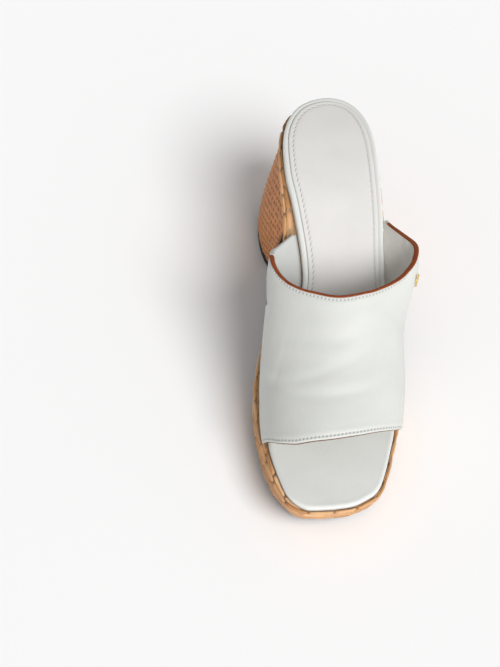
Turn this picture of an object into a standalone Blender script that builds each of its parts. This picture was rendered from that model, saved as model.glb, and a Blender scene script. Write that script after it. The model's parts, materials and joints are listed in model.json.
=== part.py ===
"""Open-toe platform mule with a flared block heel: left foot, one object per physical piece.

Right-handed frame: +Z up, toe towards -Y, heel towards +Y, outer side of the foot towards +X.
Dimensions are written in millimetres and scaled to metres when a mesh is made.
"""

import math

import bmesh
import bpy
import numpy as np
from mathutils import Matrix, Vector

MM = 0.001
GAP = 0.3  # clearance between neighbouring pieces
ORIGIN = (2.233, 3.6)  # middle of the footprint on the ground, in the drawing's own millimetres

# Insole stack, downwards from the top of the leather cover
COVER_T = 0.8
FOAM_T = 1.2
BOARD_T = 1.6
SOCK_T = 0.8
SOCK_INSET = 2.8
SOCK_END_Y = -42.0
SKIRT_H = COVER_T + GAP + FOAM_T + GAP + BOARD_T
EDGE_ROUND = 1.4

# Upper stack, outwards from the foot
LINING_T = 0.7
STIFFENER_T = 0.4
OUTER_T = 1.0
EDGE_T = 0.6
GORE_T = LINING_T + GAP + STIFFENER_T

# Sole and heel
OUTSOLE_T = 3.0
WAIST_SOLE_T = 1.8
WRAP_T = 1.2
BREAST_TOP_Y = 44.0
BREAST_BASE_Y = 61.0
HEEL_FRONT_GAP = 2.0
TOP_LIFT_T = 5.0
BREAST_COVER_T = 0.9
PIN_R = 1.4
SCREW_R = 2.4
SCREW_HEAD_R = 4.6
NAIL_R = 0.9
NAIL_HEAD_R = 2.2
SHANK_W = 13.0
SHANK_T = 1.2
SHANK_FRONT_Y = -32.0
SHANK_REAR_Y = 78.0
RIVET_R = 1.8

# Heights along the foot: (y, z)
TOP_HEIGHTS = ((-116, 28.6), (-95, 28.2), (-65, 28.0), (-45, 29.6), (-25, 36.5), (0, 51.5),
               (20, 64.6), (40, 75.2), (60, 82.3), (80, 86.0), (100, 87.5), (120, 88.0))
SOLE_HEIGHTS = ((-116, 8.6), (-100, 5.6), (-85, 3.9), (-70, 3.3), (-38, 3.3), (-26, 6.0), (-12, 19.0),
                (2, 35.0), (20, 50.5), (43, 62.5), (60, 69.0), (80, 72.6), (100, 74.0), (120, 74.5))

# Insole edge in plan, heel centre to toe centre: (x, y)
INSOLE_MEDIAL = ((-2.5, 118.4), (-11, 116.6), (-18.8, 111.9), (-24.4, 104), (-27.6, 94), (-28.2, 83),
                 (-26.6, 66), (-23.3, 52), (-20.0, 37), (-17.2, 23), (-16.4, 10), (-21.0, -5),
                 (-28.4, -20), (-33.2, -36), (-34.7, -50), (-33.9, -66), (-31.7, -80), (-28.2, -92),
                 (-23.4, -103.3), (-17.0, -109.2), (-9.2, -110.8))
INSOLE_LATERAL = ((-2.5, 118.4), (6.5, 116.6), (14.0, 110.6), (19.4, 101), (22.4, 90), (24.2, 76),
                  (25.6, 60), (26.8, 43), (27.5, 27), (28.9, 11), (32.2, -6), (35.4, -22), (36.8, -40),
                  (34.9, -60), (31.6, -76), (28.6, -88), (25.0, -97.6), (19.4, -103.2), (9.0, -108.4),
                  (-9.2, -110.8))

# Outer edge of the woven sole side in plan, same order
SOLE_MEDIAL = ((-2.5, 119.6), (-11.6, 117.8), (-19.8, 113.0), (-26.0, 105.0), (-29.3, 95), (-30.1, 84),
               (-29.5, 68), (-28.0, 53), (-27.0, 42), (-27.6, 24), (-30.4, 8), (-34.6, -6),
               (-38.6, -21), (-40.8, -37), (-40.4, -50), (-38.2, -66), (-34.8, -82), (-30.4, -96),
               (-24.6, -106.6), (-17.6, -111.2), (-9.2, -112.4))
SOLE_LATERAL = ((-2.5, 119.6), (7.2, 117.6), (14.9, 111.4), (20.4, 101.6), (23.6, 90), (25.5, 76),
                (27.1, 60), (28.4, 43), (29.8, 27), (32.0, 11), (35.4, -6), (38.4, -22), (39.0, -40),
                (36.9, -60), (33.2, -77), (29.8, -90), (25.8, -99.6), (19.8, -105.2), (9.2, -110.2),
                (-9.2, -112.4))

# Heel base in plan, medial breast corner round the back to the lateral breast corner
HEEL_BASE = ((-30.5, 61), (-34.6, 70), (-36.9, 82), (-37.0, 94), (-34.4, 105), (-27.0, 113), (-14.0, 117.4),
             (-1.0, 118.4), (12.0, 116.8), (24.0, 111.6), (30.6, 102.6), (33.0, 91), (32.6, 79),
             (30.4, 69), (27.2, 61))

# Drop of the sole side's top edge below the insole's top: higher round the open toe, (y, drop)
SIDE_DROP = ((-116, 1.9), (-88, 1.9), (-74, SKIRT_H + GAP), (120, SKIRT_H + GAP))

# Undercut of the sole side below its top edge: (y, inset)
UNDERCUT = ((-116, 7.4), (-104, 6.2), (-90, 3.0), (-72, 1.2), (-50, 0.6), (120, 0.3))

# Foot shape under the upper: crest height and centre, and how far each side bellies out
CREST_Z = ((-92, 47.0), (-80, 53.0), (-60, 61.5), (-40, 71.5), (-17, 86.0), (0, 96.0), (20, 107.0),
           (46, 118.0))
CREST_X = ((-92, -3.0), (-60, -2.0), (-20, -1.0), (46, 0.0))
BELLY_MEDIAL = ((-92, 0.5), (-68, 1.0), (-50, 2.5), (-36, 7.5), (-20, 16.0), (-6, 27.0), (8, 35.0),
                (20, 35.0), (46, 26.0))
BELLY_LATERAL = ((-92, 1.0), (-60, 3.0), (-40, 2.0), (-20, 3.8), (-8, 11.0), (2, 20.5), (12, 29.0),
                 (22, 30.5), (34, 21.0), (46, 10.0))

# Edges of the upper round the section, angle 0 at the outer side and 180 at the inner side: (degrees, y)
TOPLINE = ((0, 45), (5, 40), (13, 33), (20, 26.8), (29, 19.5), (36, 13), (41, 7), (46, 1.5), (53, -3.8),
           (61, -8.4), (71, -12.7), (90, -16.8), (106, -14), (121, -8), (129, -2.6), (137, 5), (145, 11.5),
           (155, 17), (164, 22), (171, 27.5), (180, 36))
FRONT_EDGE = ((0, -58.5), (15, -63.5), (35, -70), (55, -75.4), (75, -80), (95, -82.8), (115, -83.4),
              (135, -81), (155, -76), (180, -70))
UPPER_CLEAR = 0.6  # between the insole edge and the lining
ORNAMENT_DEG = 26.0
ORNAMENT_Y = 7.0
ORNAMENT_LONG = 13.5
ORNAMENT_WIDE = 4.6
ORNAMENT_T = 1.1

ROUND_CELLS = 36
LENGTH_CELLS = 12
GORE_COL = 29  # the elastic fills the upper's cells from this column and row on
GORE_ROW = 9


# ---------------------------------------------------------------- curves

def smooth_level(pairs, at):
    """Smooth curve through (position, value) pairs that never overshoots them."""
    px = np.array([p[0] for p in pairs], float)
    py = np.array([p[1] for p in pairs], float)
    at = np.clip(np.asarray(at, float), px[0], px[-1])
    step = np.diff(px)
    rise = np.diff(py) / step
    slope = np.zeros(len(px))
    for i in range(1, len(px) - 1):
        if rise[i - 1] * rise[i] > 0:
            a = 2 * step[i] + step[i - 1]
            b = step[i] + 2 * step[i - 1]
            slope[i] = (a + b) / (a / rise[i - 1] + b / rise[i])
    slope[0] = rise[0]
    slope[-1] = rise[-1]
    k = np.clip(np.searchsorted(px, at, side="right") - 1, 0, len(px) - 2)
    t = (at - px[k]) / step[k]
    h00 = 2 * t**3 - 3 * t**2 + 1
    h10 = t**3 - 2 * t**2 + t
    h01 = -2 * t**3 + 3 * t**2
    h11 = t**3 - t**2
    return h00 * py[k] + h10 * step[k] * slope[k] + h01 * py[k + 1] + h11 * step[k] * slope[k + 1]


def through(points, closed, per_span=10):
    """Catmull-Rom curve through the points."""
    pts = np.array(points, float)
    n = len(pts)
    out = []
    spans = n if closed else n - 1
    for i in range(spans):
        if closed:
            a, b, c, d = pts[i - 1], pts[i], pts[(i + 1) % n], pts[(i + 2) % n]
        else:
            b, c = pts[i], pts[i + 1]
            a = pts[i - 1] if i else 2 * b - c
            d = pts[i + 2] if i + 2 < n else 2 * c - b
        for s in range(per_span):
            t = s / per_span
            out.append(0.5 * (2 * b + (c - a) * t + (2 * a - 5 * b + 4 * c - d) * t**2
                              + (3 * b - a - 3 * c + d) * t**3))
    if not closed:
        out.append(pts[-1])
    return np.array(out)


def even(line, count):
    """The open line resampled to count + 1 evenly spaced points."""
    seg = np.linalg.norm(np.diff(line, axis=0), axis=1)
    along = np.concatenate([[0], np.cumsum(seg)])
    want = np.linspace(0, along[-1], count + 1)
    return np.stack([np.interp(want, along, line[:, k]) for k in range(line.shape[1])], axis=1)


def inset_loop(loop, amount):
    """A closed counter-clockwise plan loop moved inwards by amount (one number or one per point)."""
    ahead = np.roll(loop, -1, axis=0) - np.roll(loop, 1, axis=0)
    ahead /= np.linalg.norm(ahead, axis=1)[:, None]
    inward = np.stack([-ahead[:, 1], ahead[:, 0]], axis=1)
    return loop + inward * np.reshape(amount, (-1, 1))


def two_sides(medial, lateral, cells, inset=0.0):
    """The two edges of a plan outline, each as cells + 1 points from heel centre to toe centre."""
    control = list(medial) + list(reversed(lateral))[1:-1]
    dense = through(control, True)
    dense = inset_loop(dense, inset(dense[:, 1]) if callable(inset) else inset)
    turn = (len(medial) - 1) * 10
    left = dense[:turn + 1]
    right = np.concatenate([dense[turn:], dense[:1]])[::-1]
    return even(left, cells), even(right, cells)


def top_z(y):
    return smooth_level(TOP_HEIGHTS, y)


def sole_z(y):
    return smooth_level(SOLE_HEIGHTS, y)


def side_top(y):
    """Level of the sole side's top edge."""
    return top_z(y) - smooth_level(SIDE_DROP, y)


def undercut_sides(cells, inset):
    """Sole edge at its foot: the top edge moved in by the undercut and by inset."""
    return two_sides(SOLE_MEDIAL, SOLE_LATERAL, cells, lambda y: smooth_level(UNDERCUT, y) + inset)


def foot_point(deg, y, out=0.0):
    """Point on the foot shape at a section angle and a position along the foot."""
    deg = np.asarray(deg, float)
    y = np.asarray(y, float)
    t = 1 - np.abs(deg - 90) / 90
    lateral = deg < 90
    rim_m, rim_l = rim_at(y)
    base_x = np.where(lateral, rim_l + UPPER_CLEAR, rim_m - UPPER_CLEAR)
    belly = np.where(lateral, smooth_level(BELLY_LATERAL, y), -smooth_level(BELLY_MEDIAL, y))
    low = top_z(y) - SKIRT_H
    high = smooth_level(CREST_Z, y)
    mid_x = smooth_level(CREST_X, y)
    h1x = base_x + belly
    h1z = low + 0.5 * (high - low)
    h2x = mid_x + 0.74 * (base_x + 0.5 * belly - mid_x)
    s = 1 - t
    x = s**3 * base_x + 3 * s**2 * t * h1x + 3 * s * t**2 * h2x + t**3 * mid_x
    z = s**3 * low + 3 * s**2 * t * h1z + 3 * s * t**2 * high + t**3 * high
    return np.stack([x, y + 0 * x, z], axis=-1)


_left, _right = two_sides(INSOLE_MEDIAL, INSOLE_LATERAL, 240)
_RIM_M = _left[np.argsort(_left[:, 1])]
_RIM_L = _right[np.argsort(_right[:, 1])]


def rim_at(y):
    return np.interp(y, _RIM_M[:, 1], _RIM_M[:, 0]), np.interp(y, _RIM_L[:, 1], _RIM_L[:, 0])


def upper_grid(rows, cols, out, v0=0.0, v1=1.0, d0=0.0, d1=180.0):
    """Grid of points on the upper, moved out from the foot by out; angle runs across, v runs back."""
    deg = np.linspace(d0, d1, cols + 1)[None, :]
    v = np.linspace(v0, v1, rows + 1)[:, None]

    def at(dd, vv):
        dd = np.clip(dd, 0, 180)
        y = smooth_level(FRONT_EDGE, dd) * (1 - vv) + smooth_level(TOPLINE, dd) * vv
        return foot_point(dd, y)

    here = at(deg + 0 * v, v + 0 * deg)
    if not out:
        return here
    e = 0.5
    deg = deg + 0 * v
    v = v + 0 * deg
    round_way = at(np.minimum(deg + e, 180), v) - at(np.maximum(deg - e, 0), v)
    long_way = at(deg, v + 0.01) - at(deg, v - 0.01)
    normal = np.cross(long_way, round_way)
    normal /= np.linalg.norm(normal, axis=-1)[..., None]
    up = here + normal * out
    # the foot of every layer ends level with the top of the sole: slide it along the wall to that level
    wall = np.cross(normal, long_way)
    wall /= np.linalg.norm(wall, axis=-1)[..., None]
    ends = (deg <= 0.01) | (deg >= 179.99)
    wall = np.where(wall[..., 2:] < 0, -wall, wall)
    for _ in range(4):
        y = up[..., 1]
        short = top_z(y) - SKIRT_H - up[..., 2]
        rate = wall[..., 2] - (top_z(y + 0.5) - top_z(y - 0.5)) * wall[..., 1]
        up = up + wall * (np.where(ends | (short > 0), short, 0) / np.maximum(rate, 0.3))[..., None]
    return up


# ---------------------------------------------------------------- meshes

LOOK = {
    "white_leather": ((0.80, 0.80, 0.77), 0.48, 0.0),
    "sock_leather": ((0.82, 0.79, 0.74), 0.55, 0.0),
    "lining_leather": ((0.70, 0.67, 0.62), 0.65, 0.0),
    "edge_paint": ((0.26, 0.06, 0.02), 0.45, 0.0),
    "stiffener_cloth": ((0.74, 0.72, 0.66), 0.90, 0.0),
    "elastic_leather": ((0.78, 0.78, 0.75), 0.55, 0.0),
    "foam": ((0.78, 0.72, 0.50), 0.95, 0.0),
    "fibreboard": ((0.42, 0.31, 0.20), 0.90, 0.0),
    "shank_steel": ((0.55, 0.55, 0.57), 0.30, 1.0),
    "fixing_steel": ((0.60, 0.60, 0.62), 0.35, 1.0),
    "cork_core": ((0.45, 0.28, 0.15), 0.92, 0.0),
    "woven_raffia": ((0.55, 0.31, 0.13), 0.60, 0.0),
    "sole_rubber": ((0.02, 0.02, 0.02), 0.75, 0.0),
    "heel_plastic": ((0.70, 0.66, 0.58), 0.55, 0.0),
    "gold_metal": ((0.80, 0.58, 0.25), 0.25, 1.0),
}


def coat(obj, slot):
    colour, rough, metal = LOOK[slot]
    mat = bpy.data.materials.new(slot)
    mat.use_nodes = True
    shader = mat.node_tree.nodes["Principled BSDF"]
    shader.inputs["Base Color"].default_value = (*colour, 1.0)
    shader.inputs["Roughness"].default_value = rough
    shader.inputs["Metallic"].default_value = metal
    mat.diffuse_color = (*colour, 1.0)
    obj.data.materials.append(mat)


def solid(name, points, faces, slot, sharp=35.0, at=(0, 0, 0), turn=None):
    """One closed object from points in millimetres."""
    mesh = bpy.data.meshes.new(name)
    mesh.from_pydata([tuple(float(c) * MM for c in p) for p in points], [], faces)
    work = bmesh.new()
    work.from_mesh(mesh)
    bmesh.ops.remove_doubles(work, verts=work.verts, dist=2e-6)
    bmesh.ops.dissolve_degenerate(work, edges=work.edges, dist=1e-7)
    bmesh.ops.recalc_face_normals(work, faces=work.faces)
    work.to_mesh(mesh)
    work.free()
    obj = bpy.data.objects.new(name, mesh)
    bpy.context.scene.collection.objects.link(obj)
    obj.location = Vector([(at[0] - ORIGIN[0]) * MM, (at[1] - ORIGIN[1]) * MM, at[2] * MM])
    if turn is not None:
        obj.rotation_mode = "QUATERNION"
        obj.rotation_quaternion = turn
    if slot:
        coat(obj, slot)
        for face in mesh.polygons:
            face.use_smooth = True
        mesh.set_sharp_from_angle(angle=math.radians(sharp))
    return obj


def hide_as_cutter(obj):
    obj.hide_render = True
    obj.display_type = "WIRE"
    return obj


def cut(obj, cutter):
    mod = obj.modifiers.new("cut", "BOOLEAN")
    mod.operation = "DIFFERENCE"
    mod.solver = "EXACT"
    mod.object = cutter


def closed_loop(sides, heights):
    """Loop from a pair of side lines; heights gives z from the points' y, or one number."""
    left, right = sides
    loop = np.concatenate([left, right[-2:0:-1]])
    z = heights(loop[:, 1]) if callable(heights) else np.full(len(loop), float(heights))
    return np.column_stack([loop[:, :2], z])


def capped(name, loops, caps, slot, across=4, **more):
    """Solid through successive closed loops; caps holds the height rules of the first and last cap."""
    n = len(loops[0])
    half = n // 2
    points = [p for loop in loops for p in loop]
    faces = []
    for k in range(len(loops) - 1):
        for i in range(n):
            j = (i + 1) % n
            faces.append((k * n + i, k * n + j, (k + 1) * n + j, (k + 1) * n + i))
    for which, rule in ((0, caps[0]), (len(loops) - 1, caps[1])):
        loop = loops[which]
        start = which * n
        rows = []
        for i in range(half + 1):
            j = (n - i) % n
            if i in (0, half):
                rows.append([start + i])
                continue
            row = [start + i]
            for c in range(1, across):
                p = loop[i] + (loop[j] - loop[i]) * c / across
                if callable(rule):
                    p = np.array([p[0], p[1], rule(p[1])])
                row.append(len(points))
                points.append(p)
            row.append(start + j)
            rows.append(row)
        for a, b in zip(rows, rows[1:]):
            if len(a) == 1:
                for c in range(len(b) - 1):
                    faces.append((a[0], b[c], b[c + 1]))
            elif len(b) == 1:
                for c in range(len(a) - 1):
                    faces.append((a[c], b[0], a[c + 1]))
            else:
                for c in range(len(a) - 1):
                    faces.append((a[c], b[c], b[c + 1], a[c + 1]))
    return solid(name, points, faces, slot, **more)


def ring(name, loops, slot, **more):
    """Closed band whose cross-section runs through the loops and back to the first."""
    n = len(loops[0])
    points = [p for loop in loops for p in loop]
    faces = []
    for k in range(len(loops)):
        m = (k + 1) % len(loops)
        for i in range(n):
            j = (i + 1) % n
            faces.append((k * n + i, k * n + j, m * n + j, m * n + i))
    return solid(name, points, faces, slot, **more)


def bar(name, lines, slot, **more):
    """Bar whose cross-section runs through the open lines, closed at both ends."""
    n = len(lines[0])
    count = len(lines)
    points = [p for line in lines for p in line]
    faces = []
    for k in range(count):
        m = (k + 1) % count
        for i in range(n - 1):
            faces.append((k * n + i, k * n + i + 1, m * n + i + 1, m * n + i))
    faces.append(tuple(k * n for k in range(count)))
    faces.append(tuple(k * n + n - 1 for k in reversed(range(count))))
    return solid(name, points, faces, slot, **more)


def shell(name, inner, outer, keep, slot, **more):
    """Sheet between two grids over the cells marked in keep."""
    rows, cols = keep.shape
    size = (rows + 1) * (cols + 1)
    points = list(inner.reshape(-1, 3)) + list(outer.reshape(-1, 3))
    faces = []

    def at(r, c):
        return r * (cols + 1) + c

    for r in range(rows):
        for c in range(cols):
            if not keep[r, c]:
                continue
            quad = (at(r, c), at(r, c + 1), at(r + 1, c + 1), at(r + 1, c))
            # one fixed diagonal, so that stacked sheets fold alike
            for tri in ((quad[0], quad[1], quad[2]), (quad[0], quad[2], quad[3])):
                faces.append(tri)
                faces.append(tuple(size + q for q in reversed(tri)))
            sides = ((r - 1, c, quad[0], quad[1]), (r, c + 1, quad[1], quad[2]),
                     (r + 1, c, quad[2], quad[3]), (r, c - 1, quad[3], quad[0]))
            for rr, cc, a, b in sides:
                inside = 0 <= rr < rows and 0 <= cc < cols and keep[rr, cc]
                if not inside:
                    faces.append((a, b, size + b, size + a))
    used = sorted({q for f in faces for q in f})
    new = {q: i for i, q in enumerate(used)}
    return solid(name, [points[q] for q in used], [tuple(new[q] for q in f) for f in faces], slot, **more)


def turned(name, profile, slot, at, turn=None, steps=12):
    """Solid of revolution about local Z from (radius, z) pairs, lowest first."""
    points = []
    faces = []
    for r, z in profile:
        for i in range(steps):
            a = 2 * math.pi * i / steps
            points.append((r * math.cos(a), r * math.sin(a), z))
    for k in range(len(profile) - 1):
        for i in range(steps):
            j = (i + 1) % steps
            faces.append((k * steps + i, k * steps + j, (k + 1) * steps + j, (k + 1) * steps + i))
    faces.append(tuple(reversed(range(steps))))
    faces.append(tuple((len(profile) - 1) * steps + i for i in range(steps)))
    return solid(name, points, faces, slot, at=at, turn=turn)


def limited(sides, limit, keep_below, cells, end_cells):
    """Side lines cut across at a position along the foot and resampled, starting mid-way on the cut."""
    out = []
    ends = []
    for line in sides:
        inside = line[:, 1] < limit if keep_below else line[:, 1] > limit
        part = line[inside]
        order = part if keep_below else part[::-1]
        k = np.argmax(inside) if keep_below else len(inside) - np.argmax(inside[::-1]) - 1
        o = k - 1 if keep_below else k + 1
        f = (limit - line[k, 1]) / (line[o, 1] - line[k, 1])
        corner = line[k] + (line[o] - line[k]) * f
        ends.append(corner)
        out.append(even(np.vstack([corner[None, :], order]), cells))
    mid = (ends[0] + ends[1]) / 2
    full = []
    for corner, line in zip(ends, out):
        lead = np.linspace(mid, corner, end_cells + 1)[:-1]
        full.append(np.vstack([lead, line]))
    return full[0], full[1]


def below(drop):
    return lambda y: top_z(y) - drop


# ---------------------------------------------------------------- pieces

def build_insole():
    n = 34
    outer = two_sides(INSOLE_MEDIAL, INSOLE_LATERAL, n)
    inner = two_sides(INSOLE_MEDIAL, INSOLE_LATERAL, n, COVER_T)
    soft = two_sides(INSOLE_MEDIAL, INSOLE_LATERAL, n, EDGE_ROUND)
    capped("insole_cover", [
        closed_loop(inner, below(COVER_T)),
        closed_loop(inner, below(SKIRT_H)),
        closed_loop(outer, below(SKIRT_H)),
        closed_loop(outer, below(EDGE_ROUND * 0.8)),
        closed_loop(soft, below(0.0)),
    ], (below(COVER_T), below(0.0)), "white_leather", across=3)
    pad = two_sides(INSOLE_MEDIAL, INSOLE_LATERAL, n, COVER_T + GAP)
    top = COVER_T + GAP
    capped("insole_foam", [closed_loop(pad, below(top + FOAM_T)), closed_loop(pad, below(top))],
           (below(top + FOAM_T), below(top)), "foam", across=3)
    top += FOAM_T + GAP
    board = capped("insole_board", [closed_loop(pad, below(SKIRT_H)), closed_loop(pad, below(top))],
                   (below(SKIRT_H), below(top)), "fibreboard", across=3)
    sock = limited(two_sides(INSOLE_MEDIAL, INSOLE_LATERAL, 90, SOCK_INSET), SOCK_END_Y, False, 26, 2)
    tight = limited(two_sides(INSOLE_MEDIAL, INSOLE_LATERAL, 90, SOCK_INSET + 0.5), SOCK_END_Y + 0.4, False,
                    26, 2)
    under = -GAP - 0.15
    capped("sock_lining", [
        closed_loop(sock, below(under)),
        closed_loop(sock, below(under - SOCK_T * 0.6)),
        closed_loop(tight, below(under - SOCK_T)),
    ], (below(under), below(under - SOCK_T)), "sock_leather", across=3)
    return board


def build_sole():
    n = 38
    outer_top = two_sides(SOLE_MEDIAL, SOLE_LATERAL, n)
    inner_top = two_sides(SOLE_MEDIAL, SOLE_LATERAL, n, WRAP_T)
    high = below(SKIRT_H + GAP)

    def low(y):
        return sole_z(y)

    ring("sole_wrap", [
        closed_loop(undercut_sides(n, 0.0), low),
        closed_loop(outer_top, high),
        closed_loop(outer_top, side_top),
        closed_loop(inner_top, side_top),
        closed_loop(inner_top, high),
        closed_loop(undercut_sides(n, WRAP_T), low),
    ], "woven_raffia")
    core = capped("platform_core", [
        closed_loop(undercut_sides(n, WRAP_T + 2 * GAP), low),
        closed_loop(two_sides(SOLE_MEDIAL, SOLE_LATERAL, n, WRAP_T + 2 * GAP), high),
    ], (low, high), "cork_core", across=3)
    rear = BREAST_TOP_Y - HEEL_FRONT_GAP

    def tread_top(y):
        return sole_z(y) - GAP - 0.15

    def tread_low(y):
        thick = smooth_level(((-116, OUTSOLE_T), (-38, OUTSOLE_T), (0, WAIST_SOLE_T), (50, WAIST_SOLE_T)), y)
        return sole_z(y) - GAP - thick

    def tuck(y):
        return smooth_level(UNDERCUT, y) + smooth_level(((-116, 2.9), (-96, 2.2), (-80, 0.8), (120, 0.8)), y)

    shape = limited(two_sides(SOLE_MEDIAL, SOLE_LATERAL, 120, tuck), rear, True, 34, 2)
    capped("outsole", [closed_loop(shape, tread_low), closed_loop(shape, tread_top)],
           (tread_low, tread_top), "sole_rubber", across=3)
    return core


def heel_sides_top():
    left, right = undercut_sides(240, 0.0)
    medial = left[left[:, 1] >= BREAST_TOP_Y][::-1]
    lateral = right[right[:, 1] >= BREAST_TOP_Y]
    return np.vstack([medial, lateral[1:]])


HEEL_CELLS = 26


def heel_side(t, inset=0.0):
    """Side of the heel at a level (0 top, 1 base), inner breast corner round the back to the outer one."""
    top = even(heel_sides_top(), HEEL_CELLS)
    base = even(through(HEEL_BASE, False), HEEL_CELLS)
    bend = math.sin(t * math.pi / 2)
    x = top[:, 0] + (base[:, 0] - top[:, 0]) * bend
    y = top[:, 1] + (base[:, 1] - top[:, 1]) * t
    line = np.column_stack([x, y])
    ahead = np.gradient(line, axis=0)
    ahead /= np.linalg.norm(ahead, axis=1)[:, None]
    inward = np.column_stack([ahead[:, 1], -ahead[:, 0]])
    inward[0] = (1, 0)
    inward[-1] = (-1, 0)
    line = line + inward * inset
    z = (1 - t) * (sole_z(top[:, 1]) - GAP) + t * (TOP_LIFT_T + GAP)
    return np.column_stack([line, z])


def heel_loop(t, inset):
    """Closed heel section, starting mid-way along the breast."""
    side = heel_side(t, inset)
    mid = (side[0] + side[-1]) / 2
    first = (side[0] + mid) / 2
    last = (side[-1] + mid) / 2
    return np.vstack([mid[None], first[None], side, last[None]])


def build_heel():
    levels = [0, 0.12, 0.3, 0.5, 0.75, 1.0]
    inner = np.stack([heel_side(t, WRAP_T) for t in levels])
    outer = np.stack([heel_side(t, 0.0) for t in levels])
    shell("heel_wrap", inner, outer, np.ones((len(levels) - 1, HEEL_CELLS), bool), "woven_raffia")

    def seat(y):
        return sole_z(y) - GAP

    block = capped("heel_block", [heel_loop(t, WRAP_T + 2 * GAP) for t in reversed(levels)],
                   (TOP_LIFT_T + GAP, seat), "heel_plastic", across=4)
    for k, (y0, y1) in enumerate(((60, 76), (93, 107))):
        box = [(x, y, z) for z in (26, 78) for x, y in ((-17, y0), (17, y0), (17, y1), (-17, y1))]
        sides = [(0, 3, 2, 1), (4, 5, 6, 7), (0, 1, 5, 4), (1, 2, 6, 5), (2, 3, 7, 6), (3, 0, 4, 7)]
        cut(block, hide_as_cutter(solid(f"cut_core_{k}", box, sides, None)))
    rows = []
    for t in (0.02, 0.25, 0.5, 0.75, 0.99):
        side = heel_side(t, 1.0)
        a, b = side[0], side[-1]
        rows.append([a + (b - a) * f + (0, -GAP, 0) for f in (0, 0.25, 0.5, 0.75, 1)])
    rear = np.array(rows)
    front = rear + (0, -BREAST_COVER_T, 0)
    shell("heel_breast_cover", front, rear, np.ones((4, 4), bool), "sole_rubber")
    lift_low = heel_loop(1.0, 0.0)
    lift_low[:, 2] = 0.0
    lift_mid = heel_loop(1.0, 0.0)
    lift_mid[:, 2] = TOP_LIFT_T
    lift = capped("heel_top_lift", [lift_low, lift_mid], (0.0, TOP_LIFT_T), "sole_rubber", across=4)
    return block, lift


def tilt_at(y):
    """Rotation that stands a fixing square to the insole at this point along the foot."""
    slope = float(top_z(y + 1) - top_z(y - 1)) / 2
    return Matrix.Rotation(math.atan(slope), 4, "X").to_quaternion()


def build_fixings(board, core, block, lift):
    head_top = COVER_T + FOAM_T + 2 * GAP + 0.15
    for name, x, y, r, head, length in (
            ("heel_screw", -2, 84.5, SCREW_R, SCREW_HEAD_R, 34.0),
            ("heel_nail_1", -17, 68, NAIL_R, NAIL_HEAD_R, 19.0),
            ("heel_nail_2", 15, 68, NAIL_R, NAIL_HEAD_R, 19.0),
            ("heel_nail_3", -19, 92, NAIL_R, NAIL_HEAD_R, 19.0),
            ("heel_nail_4", 14, 92, NAIL_R, NAIL_HEAD_R, 19.0)):
        at = (x, y, float(top_z(y)) - head_top)
        turned(name, [(r * 0.3, -length), (r, -length + 2 * r), (r, -1.1), (head, -0.8), (head, 0)],
               "fixing_steel", at, turn=tilt_at(y), steps=10)
        shape = [(r + GAP, -length - 1), (r + GAP, -1.5), (head + GAP, -1.2), (head + GAP, 3)]
        hole = turned("cut_" + name, shape, None, at, turn=tilt_at(y), steps=10)
        hide_as_cutter(hole)
        for target in (board, core, block):
            cut(target, hole)
    left = []
    right = []
    for y in np.linspace(SHANK_REAR_Y, SHANK_FRONT_Y, 13):
        half = SHANK_W / 2 * (0.72 if y in (SHANK_REAR_Y, SHANK_FRONT_Y) else 1.0)
        mid = sum(rim_at(y)) / 2
        left.append((mid - half, y))
        right.append((mid + half, y))
    lines = (np.array(left), np.array(right))

    def band(drop_a, drop_b, grow):
        a = lines[0] + (-grow, 0)
        b = lines[1] + (grow, 0)
        for line in (a, b):
            line[0, 1] += grow
            line[-1, 1] -= grow
        return [np.column_stack([p, top_z(p[:, 1]) - drop]) for p, drop in
                ((a, drop_a), (b, drop_a), (b, drop_b), (a, drop_b))]

    shank = bar("shank", band(SKIRT_H + GAP, SKIRT_H + GAP + SHANK_T, 0), "shank_steel")
    pocket = hide_as_cutter(bar("cut_shank", band(SKIRT_H - 1, SKIRT_H + 2 * GAP + SHANK_T + 0.9, GAP), None))
    cut(core, pocket)
    for name, y in (("shank_rivet_front", -22.0), ("shank_rivet_rear", 66.0)):
        at = (sum(float(v) for v in rim_at(y)) / 2, y, float(top_z(y)) - SKIRT_H - GAP - SHANK_T)
        long = SHANK_T + GAP + BOARD_T
        turned(name, [(RIVET_R * 1.5, -0.75), (RIVET_R * 1.5, -0.3), (RIVET_R, -0.3), (RIVET_R, long - 0.9),
                      (RIVET_R * 1.6, long - 0.8), (RIVET_R * 1.6, long - 0.1)],
               "fixing_steel", at, turn=tilt_at(y), steps=10)
        hole = turned("cut_" + name, [(RIVET_R + GAP, -2), (RIVET_R + GAP, long - 1.25),
                                      (RIVET_R * 1.6 + GAP, long - 1.15), (RIVET_R * 1.6 + GAP, long + 2)],
                      None, at, turn=tilt_at(y), steps=10)
        hide_as_cutter(hole)
        cut(board, hole)
        cut(shank, hole)
    for name, x in (("top_lift_pin_1", -16.0), ("top_lift_pin_2", 12.0)):
        at = (x, 90.0, 1.6)
        turned(name, [(PIN_R * 1.6, 0), (PIN_R * 1.6, 1.0), (PIN_R, 1.1), (PIN_R, 14), (PIN_R * 0.4, 16)],
               "fixing_steel", at, steps=10)
        hole = turned("cut_" + name, [(PIN_R * 1.6 + GAP, -3), (PIN_R * 1.6 + GAP, 1.3),
                                      (PIN_R + GAP, 1.5), (PIN_R + GAP, 17)], None, at, steps=10)
        hide_as_cutter(hole)
        cut(lift, hole)
        cut(block, hole)


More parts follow.
